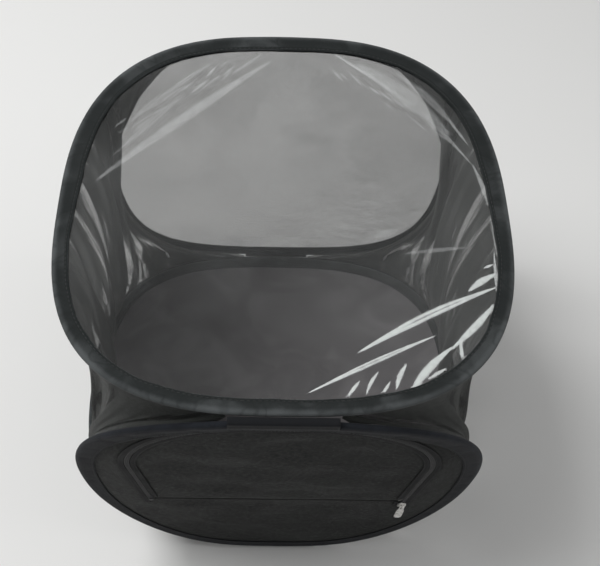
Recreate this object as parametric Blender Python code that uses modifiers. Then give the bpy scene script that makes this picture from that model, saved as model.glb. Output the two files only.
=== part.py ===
"""Pop-up insect cage: four sprung hoops sewn into a leaning box of mesh.

Each hoop is a spring-steel wire in a folded fabric binding. A clear window fills the top
hoop, mesh fills the front and back hoops, and cloth fills the floor hoop. Neighbouring
hoops are joined by a short seam tape at the middle of the edge that they share, and a
gathered side mesh closes the box on the left and on the right. The front mesh has a
D-shaped door: a zip runs round it from sill to sill, and it folds down about its sill.

Units are metres and +Z is up. The origin is on the ground under the middle of the floor,
and the door faces -Y.
"""

import math
from dataclasses import dataclass

import bmesh
import bpy
import numpy as np
from mathutils import Matrix, Vector

# Frame of the box, measured between the seams where neighbouring hoops meet
FLOOR_DEPTH = 0.390
SIDE_RISE = 0.436
LEAN = 0.073

# Outer edge of each hoop: half width, and the exponent that squares its corners; the back
# hoop is rounder at its upper corners than at its lower ones
TOP_HALF_WIDTH = 0.185
FRONT_HALF_WIDTH = 0.178
BACK_HALF_WIDTH = 0.202
FLOOR_HALF_WIDTH = 0.221
TOP_EXPONENT = 2.77
FRONT_EXPONENT = 2.3
BACK_EXPONENT = 3.4
BACK_UPPER_EXPONENT = 2.4
FLOOR_EXPONENT = 2.84

# How far the left and right of a hoop are drawn towards the inside of the box
TOP_BOW = 0.010
FRONT_BOW = 0.019

# Spring wire, and the crimped sleeve that joins its two ends
WIRE_RADIUS = 0.0011
WIRE_END_GAP = 0.0006
SLEEVE_ROOM = 0.00025
SLEEVE_WALL = 0.0004
SLEEVE_LENGTH = 0.016
SLEEVE_SLIT_ANGLE = math.radians(30)

# Folded binding round the wire
BINDING_WALL = 0.00045
BINDING_WIDTH = 0.0175
BINDING_FLAT = 0.0085
BINDING_ROOM = 0.00025

# Sheets
MESH_THICKNESS = 0.0004
WINDOW_THICKNESS = 0.0003
FLOOR_THICKNESS = 0.0005
FLOOR_LANDING = 0.030
SHEET_GAP = 0.0003
SHEET_TUCK = 0.0012
LIP_MARGIN = 0.002

# Seams between hoops
SEAM_GAP = 0.0002
SEAM_INSET = 0.0003
SEAM_HALF_LENGTH = 0.040
SEAM_TAPE_WIDTH = 0.009
SEAM_TAPE_THICKNESS = 0.0006
SEAM_TAPE_GAP = 0.0003

# Side mesh, gathered in folds that run from the floor to the top
SIDE_CORNER = 0.0412
SIDE_CORNER_INSET = 0.0012
SIDE_EDGE_INSET = 0.0014
SIDE_FOLDS = 9
SIDE_FOLD_HEIGHT = 0.0055
SIDE_COLUMNS = 36
SIDE_ROWS = 11
SIDE_PASSES = 5
LEAST_PULL = 0.02

# Door: its sill as a share of the front's height, and its margins from the hoop
DOOR_SILL_SHARE = 0.4343
DOOR_TOP_MARGIN = 0.0321
DOOR_SIDE_MARGIN = 0.0605
DOOR_CORNER_SHARE = 0.885
DOOR_FLARE = math.radians(4.4)
DOOR_PLANE_DEPTH = 0.005
DOOR_HINGE_GAP = 0.0005
RIM_MARGIN = 0.002
RIM_DROP = 0.012

# Zip
TOOTH_PITCH = 0.007
TOOTH_LENGTH = 0.0028
TOOTH_REACH = 0.0006
TOOTH_THICKNESS = 0.0022
BEAD_INNER = 0.0009
BEAD_OUTER = 0.0020
ZIP_TAPE_THICKNESS = 0.0005
ZIP_TAPE_WIDTH = 0.0052
ZIP_GAP = 0.0003
ZIP_END_GAP = 0.0005
DOOR_ZIP_START = 0.0045
ZIP_STOP_LENGTH = 0.0025
ZIP_STOP_THICKNESS = 0.0026
ZIP_TAPE_TAIL = 0.002

# Slider and its pull
SLIDER_LENGTH = 0.011
SLIDER_HALF_WIDTH = 0.0039
SLIDER_NOSE_HALF_WIDTH = 0.0030
SLIDER_PLATE = 0.0010
SLIDER_FLANGE = 0.0013
SLIDER_NECK_WIDTH = 0.0012
SLIDER_NECK_LENGTH = 0.0024
SLIDER_DROP = 0.0026
BRIDGE_RADIUS = 0.00055
BRIDGE_HALF_SPAN = 0.0032
BRIDGE_CLEAR_HEIGHT = 0.0026
PULL_LENGTH = 0.026
PULL_HALF_WIDTH = 0.0035
PULL_NECK_HALF_WIDTH = 0.0023
PULL_THICKNESS = 0.0010
PULL_EYE_NEAR = 0.0008
PULL_EYE_FAR = 0.0053
PULL_EYE_HALF_WIDTH = 0.0012
PULL_END_BAR = 0.0008

# How far joined blocks reach into each other, and the distance that welds two points
OVERRUN = 0.0004
WELD = 0.000001

# Counts that set how finely the shapes are drawn
HOOP_POINTS = 52
ARC_STEPS = 12
CURVE_SAMPLES = 400

# Sizes worked out from the ones above
BOW_START = SEAM_HALF_LENGTH + SEAM_INSET
EDGE_HALF = WIRE_RADIUS + SLEEVE_ROOM + SLEEVE_WALL + BINDING_ROOM + BINDING_WALL
SLIT_HALF = FLOOR_THICKNESS / 2 + SHEET_GAP
FRONT_SPAN = math.hypot(LEAN, SIDE_RISE)
LEAN_ANGLE = math.atan2(LEAN, SIDE_RISE)
DOOR_SILL = FRONT_SPAN * DOOR_SILL_SHARE
DOOR_TOP = FRONT_SPAN - DOOR_TOP_MARGIN
DOOR_SILL_HALF_WIDTH = FRONT_HALF_WIDTH - DOOR_SIDE_MARGIN
DOOR_CORNER_RADIUS = DOOR_SILL_HALF_WIDTH * DOOR_CORNER_SHARE
AXIS_HEIGHT = 2 * EDGE_HALF + SEAM_GAP
UP_SIDE = Vector((0, -LEAN, SIDE_RISE)) / FRONT_SPAN
FORWARD = Vector((0, -SIDE_RISE, -LEAN)) / FRONT_SPAN
RIGHT = Vector((1, 0, 0))
REAR = Vector((0, 1, 0))
UP = Vector((0, 0, 1))
FLOOR_FRONT = Vector((0, -FLOOR_DEPTH / 2, AXIS_HEIGHT))
FLOOR_BACK = Vector((0, FLOOR_DEPTH / 2, AXIS_HEIGHT))
TOP_FRONT = FLOOR_FRONT + UP_SIDE * FRONT_SPAN
TOP_BACK = FLOOR_BACK + UP_SIDE * FRONT_SPAN


@dataclass
class Hoop:
    """One hoop of the frame: its place, its outline and its bow."""

    name: str
    first: Vector
    second: Vector
    outward: Vector
    half_width: float
    exponent: float
    far_exponent: float
    bow: float

    @property
    def along(self):
        """Direction from the first seam to the second."""
        return (self.second - self.first).normalized()

    @property
    def centre(self):
        """Middle of the hoop, in the plane of its wire."""
        middle = (self.first + self.second) / 2
        return middle + self.outward * (SEAM_GAP + EDGE_HALF)

    @property
    def half_length(self):
        """Half of the outer length, which stops just short of both seams."""
        return (self.second - self.first).length / 2 - SEAM_INSET

    def quarter(self, inset, exponent):
        """Points (x, s) from the right side to the far seam, an inset inside the edge."""
        across, length = self.half_width - inset, self.half_length - inset
        turn = np.linspace(0, math.pi / 2, CURVE_SAMPLES)
        x = across * np.cos(turn) ** (2 / exponent)
        s = length * np.sin(turn) ** (2 / exponent)
        x[-1] = 0
        run = np.concatenate([[0], np.cumsum(np.hypot(np.diff(x), np.diff(s)))])
        steps = np.linspace(0, run[-1], HOOP_POINTS // 4 + 1)
        return list(zip(np.interp(steps, run, x), np.interp(steps, run, s)))

    def outline(self, inset):
        """Points (x, s) of a ring that lies an inset inside the outer edge."""
        far = self.quarter(inset, self.far_exponent)
        near = self.quarter(inset, self.exponent)
        half = far + [(-a, b) for a, b in reversed(far[:-1])]
        left = [(-a, -b) for a, b in near[1:]]
        return half + left + [(a, -b) for a, b in reversed(near[1:-1])]

    def depth(self, x):
        """How far the sheet lies inside the plane of the seams, past the seam's end."""
        past = max(abs(x) - BOW_START, 0)
        return self.bow * (past / (self.half_width - BOW_START)) ** 2

    def point(self, x, s, lift=0.0):
        """A point on the bowed sheet, or lifted off it towards the outside."""
        return self.flat_point(x, s, lift - self.depth(x))

    def flat_point(self, x, s, lift=0.0):
        """A point in the plane of the seams, or lifted off it."""
        return self.centre + RIGHT * x + self.along * s + self.outward * lift

    def normal(self, x):
        """Direction square to the bowed sheet at x, towards the outside."""
        past = max(abs(x) - BOW_START, 0)
        slope = 2 * self.bow * past / (self.half_width - BOW_START) ** 2
        return (self.outward + RIGHT * math.copysign(slope, x)).normalized()


FLOOR_HOOP = Hoop(
    name="floor",
    first=FLOOR_FRONT,
    second=FLOOR_BACK,
    outward=-UP,
    half_width=FLOOR_HALF_WIDTH,
    exponent=FLOOR_EXPONENT,
    far_exponent=FLOOR_EXPONENT,
    bow=0.0,
)
TOP_HOOP = Hoop(
    name="top",
    first=TOP_FRONT,
    second=TOP_BACK,
    outward=UP,
    half_width=TOP_HALF_WIDTH,
    exponent=TOP_EXPONENT,
    far_exponent=TOP_EXPONENT,
    bow=TOP_BOW,
)
FRONT_HOOP = Hoop(
    name="front",
    first=FLOOR_FRONT,
    second=TOP_FRONT,
    outward=FORWARD,
    half_width=FRONT_HALF_WIDTH,
    exponent=FRONT_EXPONENT,
    far_exponent=FRONT_EXPONENT,
    bow=FRONT_BOW,
)
BACK_HOOP = Hoop(
    name="back",
    first=FLOOR_BACK,
    second=TOP_BACK,
    outward=-FORWARD,
    half_width=BACK_HALF_WIDTH,
    exponent=BACK_EXPONENT,
    far_exponent=BACK_UPPER_EXPONENT,
    bow=0.0,
)


def clear_scene():
    """Remove every object of the open scene."""
    for obj in list(bpy.data.objects):
        bpy.data.objects.remove(obj, do_unlink=True)


def collection(name):
    """Make a collection under the scene's own."""
    made = bpy.data.collections.new(name)
    bpy.context.scene.collection.children.link(made)
    return made


def material(name, colour, roughness, metallic=0.0, alpha=1.0):
    """Make a Principled material."""
    made = bpy.data.materials.new(name)
    made.use_nodes = True
    shader = made.node_tree.nodes["Principled BSDF"]
    shader.inputs["Base Color"].default_value = (*colour, 1.0)
    shader.inputs["Roughness"].default_value = roughness
    shader.inputs["Metallic"].default_value = metallic
    shader.inputs["Alpha"].default_value = alpha
    return made


def pivot(name, place):
    """Make an empty on a joint's axis, to carry the pieces that turn about it."""
    empty = bpy.data.objects.new(name, None)
    empty.location = place
    CAGE.objects.link(empty)
    return empty


def add(name, data, finish, carrier, matrix=None, target=None):
    """Put mesh or curve data in the scene as a piece carried by an empty."""
    obj = bpy.data.objects.new(name, data)
    (target or CAGE).objects.link(obj)
    data.materials.append(finish)
    obj.parent = carrier
    obj.matrix_local = Matrix.Translation(-carrier.location) @ (matrix or Matrix())
    return obj


def mesh_from(bm, name, outward=True):
    """Turn a bmesh into mesh data, with its faces set to point one way."""
    if outward:
        bmesh.ops.recalc_face_normals(bm, faces=bm.faces)
    data = bpy.data.meshes.new(name)
    bm.to_mesh(data)
    bm.free()
    return data


def sweep(name, rings, closed):
    """Loft a closed solid through sections that all have the same points."""
    bm = bmesh.new()
    sections = [[bm.verts.new(p) for p in ring] for ring in rings]
    pairs = list(zip(sections, sections[1:]))
    if closed:
        pairs.append((sections[-1], sections[0]))
    for a, b in pairs:
        for i in range(len(a)):
            k = (i + 1) % len(a)
            bm.faces.new((a[i], a[k], b[k], b[i]))
    if not closed:
        bm.faces.new(sections[0])
        bm.faces.new(sections[-1])
    data = mesh_from(bm, name)
    data.shade_smooth()
    data.set_sharp_from_angle(angle=math.radians(35))
    return data


def prism_data(name, outlines, half_thickness):
    """Make an extruded flat outline, with any further outlines as holes in it."""
    data = bpy.data.curves.new(name, "CURVE")
    data.dimensions = "2D"
    data.fill_mode = "BOTH"
    data.extrude = half_thickness
    for outline in outlines:
        spline = data.splines.new("POLY")
        spline.points.add(len(outline) - 1)
        for point, (x, y) in zip(spline.points, outline):
            point.co = (x, y, 0, 1)
        spline.use_cyclic_u = True
    return data


def tube_data(name, points, radius, resolution):
    """Make a round tube along points, with filled ends."""
    data = bpy.data.curves.new(name, "CURVE")
    data.dimensions = "3D"
    data.bevel_depth = radius
    data.bevel_resolution = resolution
    data.use_fill_caps = True
    spline = data.splines.new("POLY")
    spline.points.add(len(points) - 1)
    for point, place in zip(spline.points, points):
        point.co = (*place, 1)
    return data


def as_mesh(obj):
    """Replace a curve object by the mesh that it shows, with its caps welded."""
    bpy.context.view_layer.update()
    name, carrier, place = obj.name, obj.parent, obj.matrix_world.copy()
    home = obj.users_collection[0]
    shown = obj.evaluated_get(bpy.context.evaluated_depsgraph_get())
    data = bpy.data.meshes.new_from_object(shown)
    bm = bmesh.new()
    bm.from_mesh(data)
    bmesh.ops.remove_doubles(bm, verts=bm.verts, dist=WELD)
    bmesh.ops.recalc_face_normals(bm, faces=bm.faces)
    bm.to_mesh(data)
    bm.free()
    bpy.data.objects.remove(obj, do_unlink=True)
    made = bpy.data.objects.new(name, data)
    home.objects.link(made)
    made.parent = carrier
    made.matrix_world = place
    return made


def solidify(obj, thickness):
    """Give an open sheet its thickness, half on each side."""
    wall = obj.modifiers.new("thickness", "SOLIDIFY")
    wall.thickness = thickness
    wall.offset = 0.0


def hoop_frame(hoop):
    """Wire points of a hoop, each with its inward and outward directions."""
    places = [hoop.point(x, s) for x, s in hoop.outline(EDGE_HALF)]
    frames = []
    for i, place in enumerate(places):
        x = (place - hoop.centre).dot(RIGHT)
        tangent = (places[(i + 1) % len(places)] - places[i - 1]).normalized()
        outward = hoop.normal(x)
        inward = tangent.cross(outward).normalized()
        if inward.dot(hoop.centre - place) < 0:
            inward = -inward
        frames.append((place, inward, outward))
    return frames


def held_loops(hoop):
    """Two rings in the middle of the binding's slit: the sheet's edge, and past the lip."""
    reaches = (EDGE_HALF + SHEET_TUCK, BINDING_WIDTH - EDGE_HALF + LIP_MARGIN)
    return [[place + inward * reach for place, inward, _ in hoop_frame(hoop)] for reach in reaches]


def binding_section():
    """Section of the folded binding: a U whose slit faces the sheet."""
    lip, flat = BINDING_WIDTH - EDGE_HALF, BINDING_FLAT - EDGE_HALF
    room = EDGE_HALF - BINDING_WALL
    upper = [(lip, SLIT_HALF + BINDING_WALL), (flat, EDGE_HALF), (-EDGE_HALF, EDGE_HALF)]
    inner = [(-room, room), (flat - BINDING_WALL, room), (lip, SLIT_HALF)]
    lower = [(r, -n) for r, n in reversed(upper)]
    return upper + lower + [(r, -n) for r, n in reversed(inner)] + inner


def add_hoop(hoop, carrier):
    """Add a hoop's wire, crimped sleeve and binding."""
    frames = hoop_frame(hoop)
    section = binding_section()
    rings = [[p + r * a + n * b for a, b in section] for p, r, n in frames]
    name = hoop.name + "_binding"
    add(name, sweep(name, rings, closed=True), BINDING, carrier)

    first, second = frames[0][0], frames[1][0]
    middle, run = (first + second) / 2, (second - first).normalized()
    places = [frame[0] for frame in frames]
    ends = [middle + run * WIRE_END_GAP / 2, middle - run * WIRE_END_GAP / 2]
    route = [ends[0]] + places[1:] + [places[0], ends[1]]
    name = hoop.name + "_wire"
    add(name, tube_data(name, route, WIRE_RADIUS, 1), STEEL, carrier)

    inward = (frames[0][1] + frames[1][1]).normalized()
    outward = run.cross(inward).normalized()
    bore = WIRE_RADIUS + SLEEVE_ROOM
    turns = np.linspace(SLEEVE_SLIT_ANGLE, 2 * math.pi - SLEEVE_SLIT_ANGLE, ARC_STEPS)
    shell = [(bore + SLEEVE_WALL, a) for a in turns] + [(bore, a) for a in reversed(turns)]
    rings = []
    for end in (-SLEEVE_LENGTH / 2, SLEEVE_LENGTH / 2):
        base = middle + run * end
        rings.append([base + (inward * math.cos(a) + outward * math.sin(a)) * r for r, a in shell])
    name = hoop.name + "_sleeve"
    add(name, sweep(name, rings, closed=False), SLEEVE, carrier)


def add_sheet(name, hoop, thickness, finish, carrier, landing=None):
    """Add the sheet that fills a hoop, its edge tucked into the binding's slit."""
    loops = held_loops(hoop)
    if landing is not None:
        inner = hoop.outline(BINDING_WIDTH + LIP_MARGIN + FLOOR_LANDING)
        loops.append([hoop.point(x, s, landing) for x, s in inner])
    bm = bmesh.new()
    rows = [[bm.verts.new(p) for p in loop] for loop in loops]
    count = HOOP_POINTS
    for outer, inner in zip(rows, rows[1:]):
        for i in range(count):
            k = (i + 1) % count
            bm.faces.new((outer[i], outer[k], inner[k], inner[i]))
    rung = rows[-1]
    bm.faces.new((rung[0], rung[1], rung[count - 1]))
    for i in range(1, count // 2 - 1):
        bm.faces.new((rung[i], rung[i + 1], rung[count - i - 1], rung[count - i]))
    bm.faces.new((rung[count // 2 - 1], rung[count // 2], rung[count // 2 + 1]))
    obj = add(name, mesh_from(bm, name), finish, carrier)
    solidify(obj, thickness)


class DoorPath:
    """Middle line of the zip: up the right side, over the top and down the left."""

    def __init__(self):
        sine, cosine = math.sin(DOOR_FLARE), math.cos(DOOR_FLARE)
        self.arc_height = DOOR_TOP - DOOR_CORNER_RADIUS
        rise = self.arc_height - DOOR_SILL
        self.arc_x = DOOR_SILL_HALF_WIDTH + (rise * sine - DOOR_CORNER_RADIUS) / cosine
        end_x = self.arc_x + DOOR_CORNER_RADIUS * cosine
        end_s = self.arc_height - DOOR_CORNER_RADIUS * sine
        self.side = math.hypot(end_x - DOOR_SILL_HALF_WIDTH, end_s - DOOR_SILL)
        self.arc = DOOR_CORNER_RADIUS * (math.pi / 2 + DOOR_FLARE)
        self.length = 2 * (self.side + self.arc + self.arc_x)

    def at(self, run, offset=0.0):
        """Point (x, height) at a run from the right sill, offset out of the door."""
        if run > self.length / 2:
            x, height = self.at(self.length - run, offset)
            return -x, height
        sine, cosine = math.sin(DOOR_FLARE), math.cos(DOOR_FLARE)
        if run <= self.side:
            x = DOOR_SILL_HALF_WIDTH + run * sine + offset * cosine
            return x, DOOR_SILL + run * cosine - offset * sine
        if run <= self.side + self.arc:
            angle = (run - self.side) / DOOR_CORNER_RADIUS - DOOR_FLARE
            reach = DOOR_CORNER_RADIUS + offset
            return self.arc_x + reach * math.cos(angle), self.arc_height + reach * math.sin(angle)
        return self.length / 2 - run, DOOR_TOP + offset

    def stations(self, start, stop):
        """Runs at which a smooth line along the path needs a point."""
        bends = []
        for corner in (self.side, self.length - self.side - self.arc):
            bends += list(np.linspace(corner, corner + self.arc, ARC_STEPS + 1))
        return [start] + [b for b in bends if start < b < stop] + [stop]

    def line(self, start, stop, offset):
        """Points of a line at an offset, from one run to another."""
        return [self.at(run, offset) for run in self.stations(start, stop)]


PATH = DoorPath()
FRONT_TAIL = SLIDER_DROP + SLIDER_LENGTH + ZIP_GAP + ZIP_STOP_LENGTH
MESH_MARGIN = SLIDER_HALF_WIDTH + ZIP_END_GAP + ZIP_GAP
TAPE_INNER = BEAD_OUTER + ZIP_GAP
TAPE_OUTER = TAPE_INNER + ZIP_TAPE_WIDTH
TAPE_LIFT = MESH_THICKNESS / 2 + ZIP_GAP + ZIP_TAPE_THICKNESS / 2


def front_matrix(lift):
    """Frame of the door plane: X right, Y up the front, Z outward."""
    base = FLOOR_FRONT + FORWARD * (SEAM_GAP + EDGE_HALF - DOOR_PLANE_DEPTH + lift)
    turn = Matrix((RIGHT, UP_SIDE, FORWARD)).transposed().to_4x4()
    return Matrix.Translation(base) @ turn


def ray_to(outline, centre, towards):
    """Where a ray from the centre towards a point crosses a closed outline."""
    aim = Vector(towards) - Vector(centre)
    best = None
    for a, b in zip(outline, outline[1:] + outline[:1]):
        start, edge = Vector(a) - Vector(centre), Vector(b) - Vector(a)
        cross = aim.x * edge.y - aim.y * edge.x
        if cross == 0:
            continue
        reach = (start.x * edge.y - start.y * edge.x) / cross
        share = (start.x * aim.y - start.y * aim.x) / cross
        if reach > 0 and 0 <= share <= 1 and (best is None or reach > best):
            best = reach
    return Vector(centre) + aim * best


def door_hole():
    """Outline of the hole that the front mesh leaves for the door and its zip."""
    sill = DOOR_SILL - DOOR_HINGE_GAP / 2
    foot, left_foot = -FRONT_TAIL - ZIP_END_GAP, PATH.length + ZIP_END_GAP * 2 + ZIP_STOP_LENGTH
    outer = PATH.line(foot, left_foot, MESH_MARGIN)
    left = PATH.at(left_foot, -MESH_MARGIN)
    right = PATH.at(foot, -MESH_MARGIN)
    slope = math.tan(DOOR_FLARE)
    left_sill = (left[0] - (sill - left[1]) * slope, sill)
    right_sill = (right[0] + (sill - right[1]) * slope, sill)
    return outer + [left, left_sill, right_sill, right]


def add_front_mesh(carrier):
    """Add the front mesh: flat round the door, bowed where it meets the hoop."""
    hoop, half = FRONT_HOOP, FRONT_SPAN / 2
    margin = TAPE_OUTER + RIM_MARGIN
    rim = PATH.line(-FRONT_TAIL - RIM_DROP, PATH.length + FRONT_TAIL + RIM_DROP, margin)
    rim = [(x, height - half) for x, height in rim]
    centre = (0.0, (DOOR_SILL + DOOR_TOP) / 2 - half)
    ring = [ray_to(rim, centre, p) for p in hoop.outline(BINDING_WIDTH + LIP_MARGIN)]
    bm = bmesh.new()
    loops = [[bm.verts.new(place) for place in loop] for loop in held_loops(hoop)]
    loops.append([bm.verts.new(hoop.flat_point(p.x, p.y, -DOOR_PLANE_DEPTH)) for p in ring])
    for outer, inner in zip(loops, loops[1:]):
        for i in range(HOOP_POINTS):
            k = (i + 1) % HOOP_POINTS
            bm.faces.new((outer[i], outer[k], inner[k], inner[i]))
    hole = [
        bm.verts.new(hoop.flat_point(x, height - half, -DOOR_PLANE_DEPTH))
        for x, height in door_hole()
    ]
    edges = [bm.edges.get((a, b)) for a, b in zip(loops[2], loops[2][1:] + loops[2][:1])]
    edges += [bm.edges.new((a, b)) for a, b in zip(hole, hole[1:] + hole[:1])]
    bmesh.ops.triangle_fill(bm, edges=edges, use_beauty=True, normal=hoop.outward)
    obj = add("front_mesh", mesh_from(bm, "front_mesh"), MESH, carrier)
    solidify(obj, MESH_THICKNESS)


def add_door_mesh(carrier):
    """Add the mesh of the door flap, which ends just above its sill."""
    sill = DOOR_SILL + DOOR_HINGE_GAP / 2
    start = (sill - PATH.at(0, -MESH_MARGIN)[1]) / math.cos(DOOR_FLARE)
    outline = PATH.line(start, PATH.length - start, -MESH_MARGIN)
    data = prism_data("door_mesh", [outline], MESH_THICKNESS / 2)
    add("door_mesh", data, MESH, carrier, front_matrix(0.0))


def add_zip_tape(name, start, stop, side, carrier):
    """Add a woven tape beside the zip: side 1 on the frame, side -1 on the door."""
    near = PATH.line(start, stop, side * TAPE_INNER)
    far = PATH.line(start, stop, side * TAPE_OUTER)
    data = prism_data(name, [near + far[::-1]], ZIP_TAPE_THICKNESS / 2)
    add(name, data, ZIP_CLOTH, carrier, front_matrix(TAPE_LIFT))


def comb_outline(start, stop, first, side, stop_block=False):
    """Outline of a row of teeth on a bead, from one run to another."""
    half = TOOTH_LENGTH / 2
    points = [PATH.at(start, side * BEAD_INNER)]
    if stop_block:
        block = start + ZIP_STOP_LENGTH
        points = [PATH.at(start, side * ZIP_GAP), PATH.at(block, side * ZIP_GAP)]
        points.append(PATH.at(block, side * BEAD_INNER))
    back = [PATH.at(start, side * BEAD_OUTER)]
    centre = first
    while centre + half < stop:
        if centre - half > start:
            points += [
                PATH.at(centre - half, side * BEAD_INNER),
                PATH.at(centre - half, -side * TOOTH_REACH),
                PATH.at(centre + half, -side * TOOTH_REACH),
                PATH.at(centre + half, side * BEAD_INNER),
            ]
            back.append(PATH.at(centre, side * BEAD_OUTER))
        centre += TOOTH_PITCH
    points.append(PATH.at(stop, side * BEAD_INNER))
    back.append(PATH.at(stop, side * BEAD_OUTER))
    return points + back[::-1]


def add_comb(name, outline, carrier):
    """Add a row of zip teeth from its outline."""
    data = prism_data(name, [outline], TOOTH_THICKNESS / 2)
    add(name, data, ZIP_TEETH, carrier, front_matrix(TAPE_LIFT))


def add_zip(frame, door):
    """Add both halves of the zip, its stops and its sewn-down tail."""
    end, foot, start = PATH.length, -FRONT_TAIL, DOOR_ZIP_START
    add_zip_tape("zip_tape_frame", foot, end + FRONT_TAIL, 1, frame)
    add_zip_tape("zip_tape_door", start, end - start, -1, door)
    add_zip_tape("zip_tape_tail", foot, -SLIDER_DROP, -1, frame)
    half_pitch = TOOTH_PITCH / 2
    neck_end = SLIDER_NECK_LENGTH - SLIDER_DROP - SLIDER_LENGTH
    tail_first = neck_end + ZIP_GAP + TOOTH_LENGTH / 2
    frame_first = tail_first + half_pitch
    outline = comb_outline(foot, end + ZIP_END_GAP, frame_first, 1, stop_block=True)
    add_comb("zip_teeth_frame", outline, frame)
    outline = comb_outline(start, end - start, frame_first + half_pitch + TOOTH_PITCH, -1)
    add_comb("zip_teeth_door", outline, door)
    outline = comb_outline(foot, -SLIDER_DROP, tail_first, -1, stop_block=True)
    add_comb("zip_teeth_tail", outline, frame)

    low = end + ZIP_END_GAP + ZIP_GAP
    corners = [
        PATH.at(low, -BEAD_OUTER),
        PATH.at(low, BEAD_OUTER),
        PATH.at(low + ZIP_STOP_LENGTH, BEAD_OUTER),
        PATH.at(low + ZIP_STOP_LENGTH, -BEAD_OUTER),
    ]
    data = prism_data("zip_bottom_stop", [corners], ZIP_STOP_THICKNESS / 2)
    add("zip_bottom_stop", data, ZIP_METAL, frame, front_matrix(TAPE_LIFT))


def slider_matrix():
    """Frame of the slider in its channel: X across, Y up the zip, Z outward."""
    x, height = PATH.at(-SLIDER_DROP - SLIDER_LENGTH / 2)
    shift = Matrix.Translation((x, height, 0))
    return front_matrix(TAPE_LIFT) @ shift @ Matrix.Rotation(-DOOR_FLARE, 4, "Z")


def plate_outline():
    """Outline of a slider plate: a shield that narrows where the zip is closed."""
    half, chamfer = SLIDER_LENGTH / 2, SLIDER_HALF_WIDTH / 3
    right = [
        (SLIDER_HALF_WIDTH - chamfer, -half),
        (SLIDER_HALF_WIDTH, -half + chamfer),
        (SLIDER_HALF_WIDTH, 0),
        (SLIDER_NOSE_HALF_WIDTH, half - chamfer),
        (SLIDER_NOSE_HALF_WIDTH - chamfer, half),
    ]
    return right + [(-x, y) for x, y in reversed(right)]


def flange_outline(side):
    """Outline of the rail down one edge of a slider plate."""
    half = SLIDER_LENGTH / 2
    inner = SLIDER_HALF_WIDTH - SLIDER_FLANGE
    outline = [
        (inner, -half + SLIDER_FLANGE),
        (SLIDER_HALF_WIDTH - OVERRUN / 2, -half + SLIDER_FLANGE),
        (SLIDER_HALF_WIDTH - OVERRUN / 2, -OVERRUN),
        (inner, -OVERRUN),
    ]
    return [(side * x, y) for x, y in outline]


def add_slider(carrier):
    """Add the slider: two plates, their rails, the neck and the bridge."""
    frame = slider_matrix()
    channel = TOOTH_THICKNESS / 2 + ZIP_GAP
    slot = ZIP_TAPE_THICKNESS / 2 + ZIP_GAP
    top = channel + SLIDER_PLATE
    pieces = []

    def block(outline, low, high):
        """Add one block of the slider between two levels."""
        data = prism_data("slider_block", [outline], (high - low) / 2)
        place = frame @ Matrix.Translation((0, 0, (low + high) / 2))
        pieces.append(as_mesh(add("slider_block", data, ZIP_METAL, carrier, place, SHAPES)))

    block(plate_outline(), -top, -channel)
    for side in (-1, 1):
        block(flange_outline(side), slot, channel + OVERRUN)
        block(flange_outline(side), -channel - OVERRUN, -slot)
    half_neck, foot = SLIDER_NECK_WIDTH / 2, -SLIDER_LENGTH / 2
    neck = [
        (-half_neck, foot + SLIDER_NECK_LENGTH),
        (-half_neck, foot + OVERRUN),
        (half_neck, foot + OVERRUN),
        (half_neck, foot + SLIDER_NECK_LENGTH),
    ]
    block(neck, -channel - OVERRUN, channel + OVERRUN)
    crown = top + BRIDGE_CLEAR_HEIGHT + BRIDGE_RADIUS
    shoulder = crown - BRIDGE_RADIUS
    route = [
        (0, -BRIDGE_HALF_SPAN, top - OVERRUN),
        (0, -BRIDGE_HALF_SPAN, shoulder - BRIDGE_RADIUS),
        (0, -BRIDGE_HALF_SPAN + BRIDGE_RADIUS, crown),
        (0, BRIDGE_HALF_SPAN - BRIDGE_RADIUS, crown),
        (0, BRIDGE_HALF_SPAN, shoulder - BRIDGE_RADIUS),
        (0, BRIDGE_HALF_SPAN, top - OVERRUN),
    ]
    data = tube_data("slider_block", route, BRIDGE_RADIUS, 1)
    pieces.append(as_mesh(add("slider_block", data, ZIP_METAL, carrier, frame, SHAPES)))

    data = prism_data("zip_slider", [plate_outline()], SLIDER_PLATE / 2)
    place = frame @ Matrix.Translation((0, 0, (channel + top) / 2))
    body = as_mesh(add("zip_slider", data, ZIP_METAL, carrier, place))
    for piece in pieces:
        piece.hide_render = True
        piece.display_type = "WIRE"
        join = body.modifiers.new("join", "BOOLEAN")
        join.operation = "UNION"
        join.solver = "EXACT"
        join.object = piece


def pull_place():
    """Where the pull turns: the middle of the room under the bridge."""
    top = TOOTH_THICKNESS / 2 + ZIP_GAP + SLIDER_PLATE
    height = top + ZIP_GAP + math.hypot(PULL_END_BAR, PULL_THICKNESS / 2)
    return slider_matrix() @ Vector((0, 0, height))


def add_pull(carrier):
    """Add the pull: a tab that hangs by its eye from the slider's bridge."""
    near, far = PULL_EYE_NEAR, PULL_EYE_FAR
    tip = PULL_LENGTH - PULL_END_BAR
    shoulder, corner = far + PULL_HALF_WIDTH, PULL_HALF_WIDTH / 2
    right = [
        (PULL_NECK_HALF_WIDTH, PULL_END_BAR),
        (PULL_NECK_HALF_WIDTH, -far),
        (PULL_HALF_WIDTH, -shoulder),
        (PULL_HALF_WIDTH, -tip + corner),
        (PULL_HALF_WIDTH - corner, -tip),
    ]
    outline = right + [(-x, y) for x, y in reversed(right)]
    eye = [
        (PULL_EYE_HALF_WIDTH, -near),
        (PULL_EYE_HALF_WIDTH, -far),
        (-PULL_EYE_HALF_WIDTH, -far),
        (-PULL_EYE_HALF_WIDTH, -near),
    ]
    data = prism_data("zip_pull", [outline, eye], PULL_THICKNESS / 2)
    turn = slider_matrix().to_3x3().to_4x4() @ Matrix.Rotation(-LEAN_ANGLE, 4, "X")
    place = Matrix.Translation(pull_place()) @ turn
    add("zip_pull", data, ZIP_METAL, carrier, place)


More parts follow.
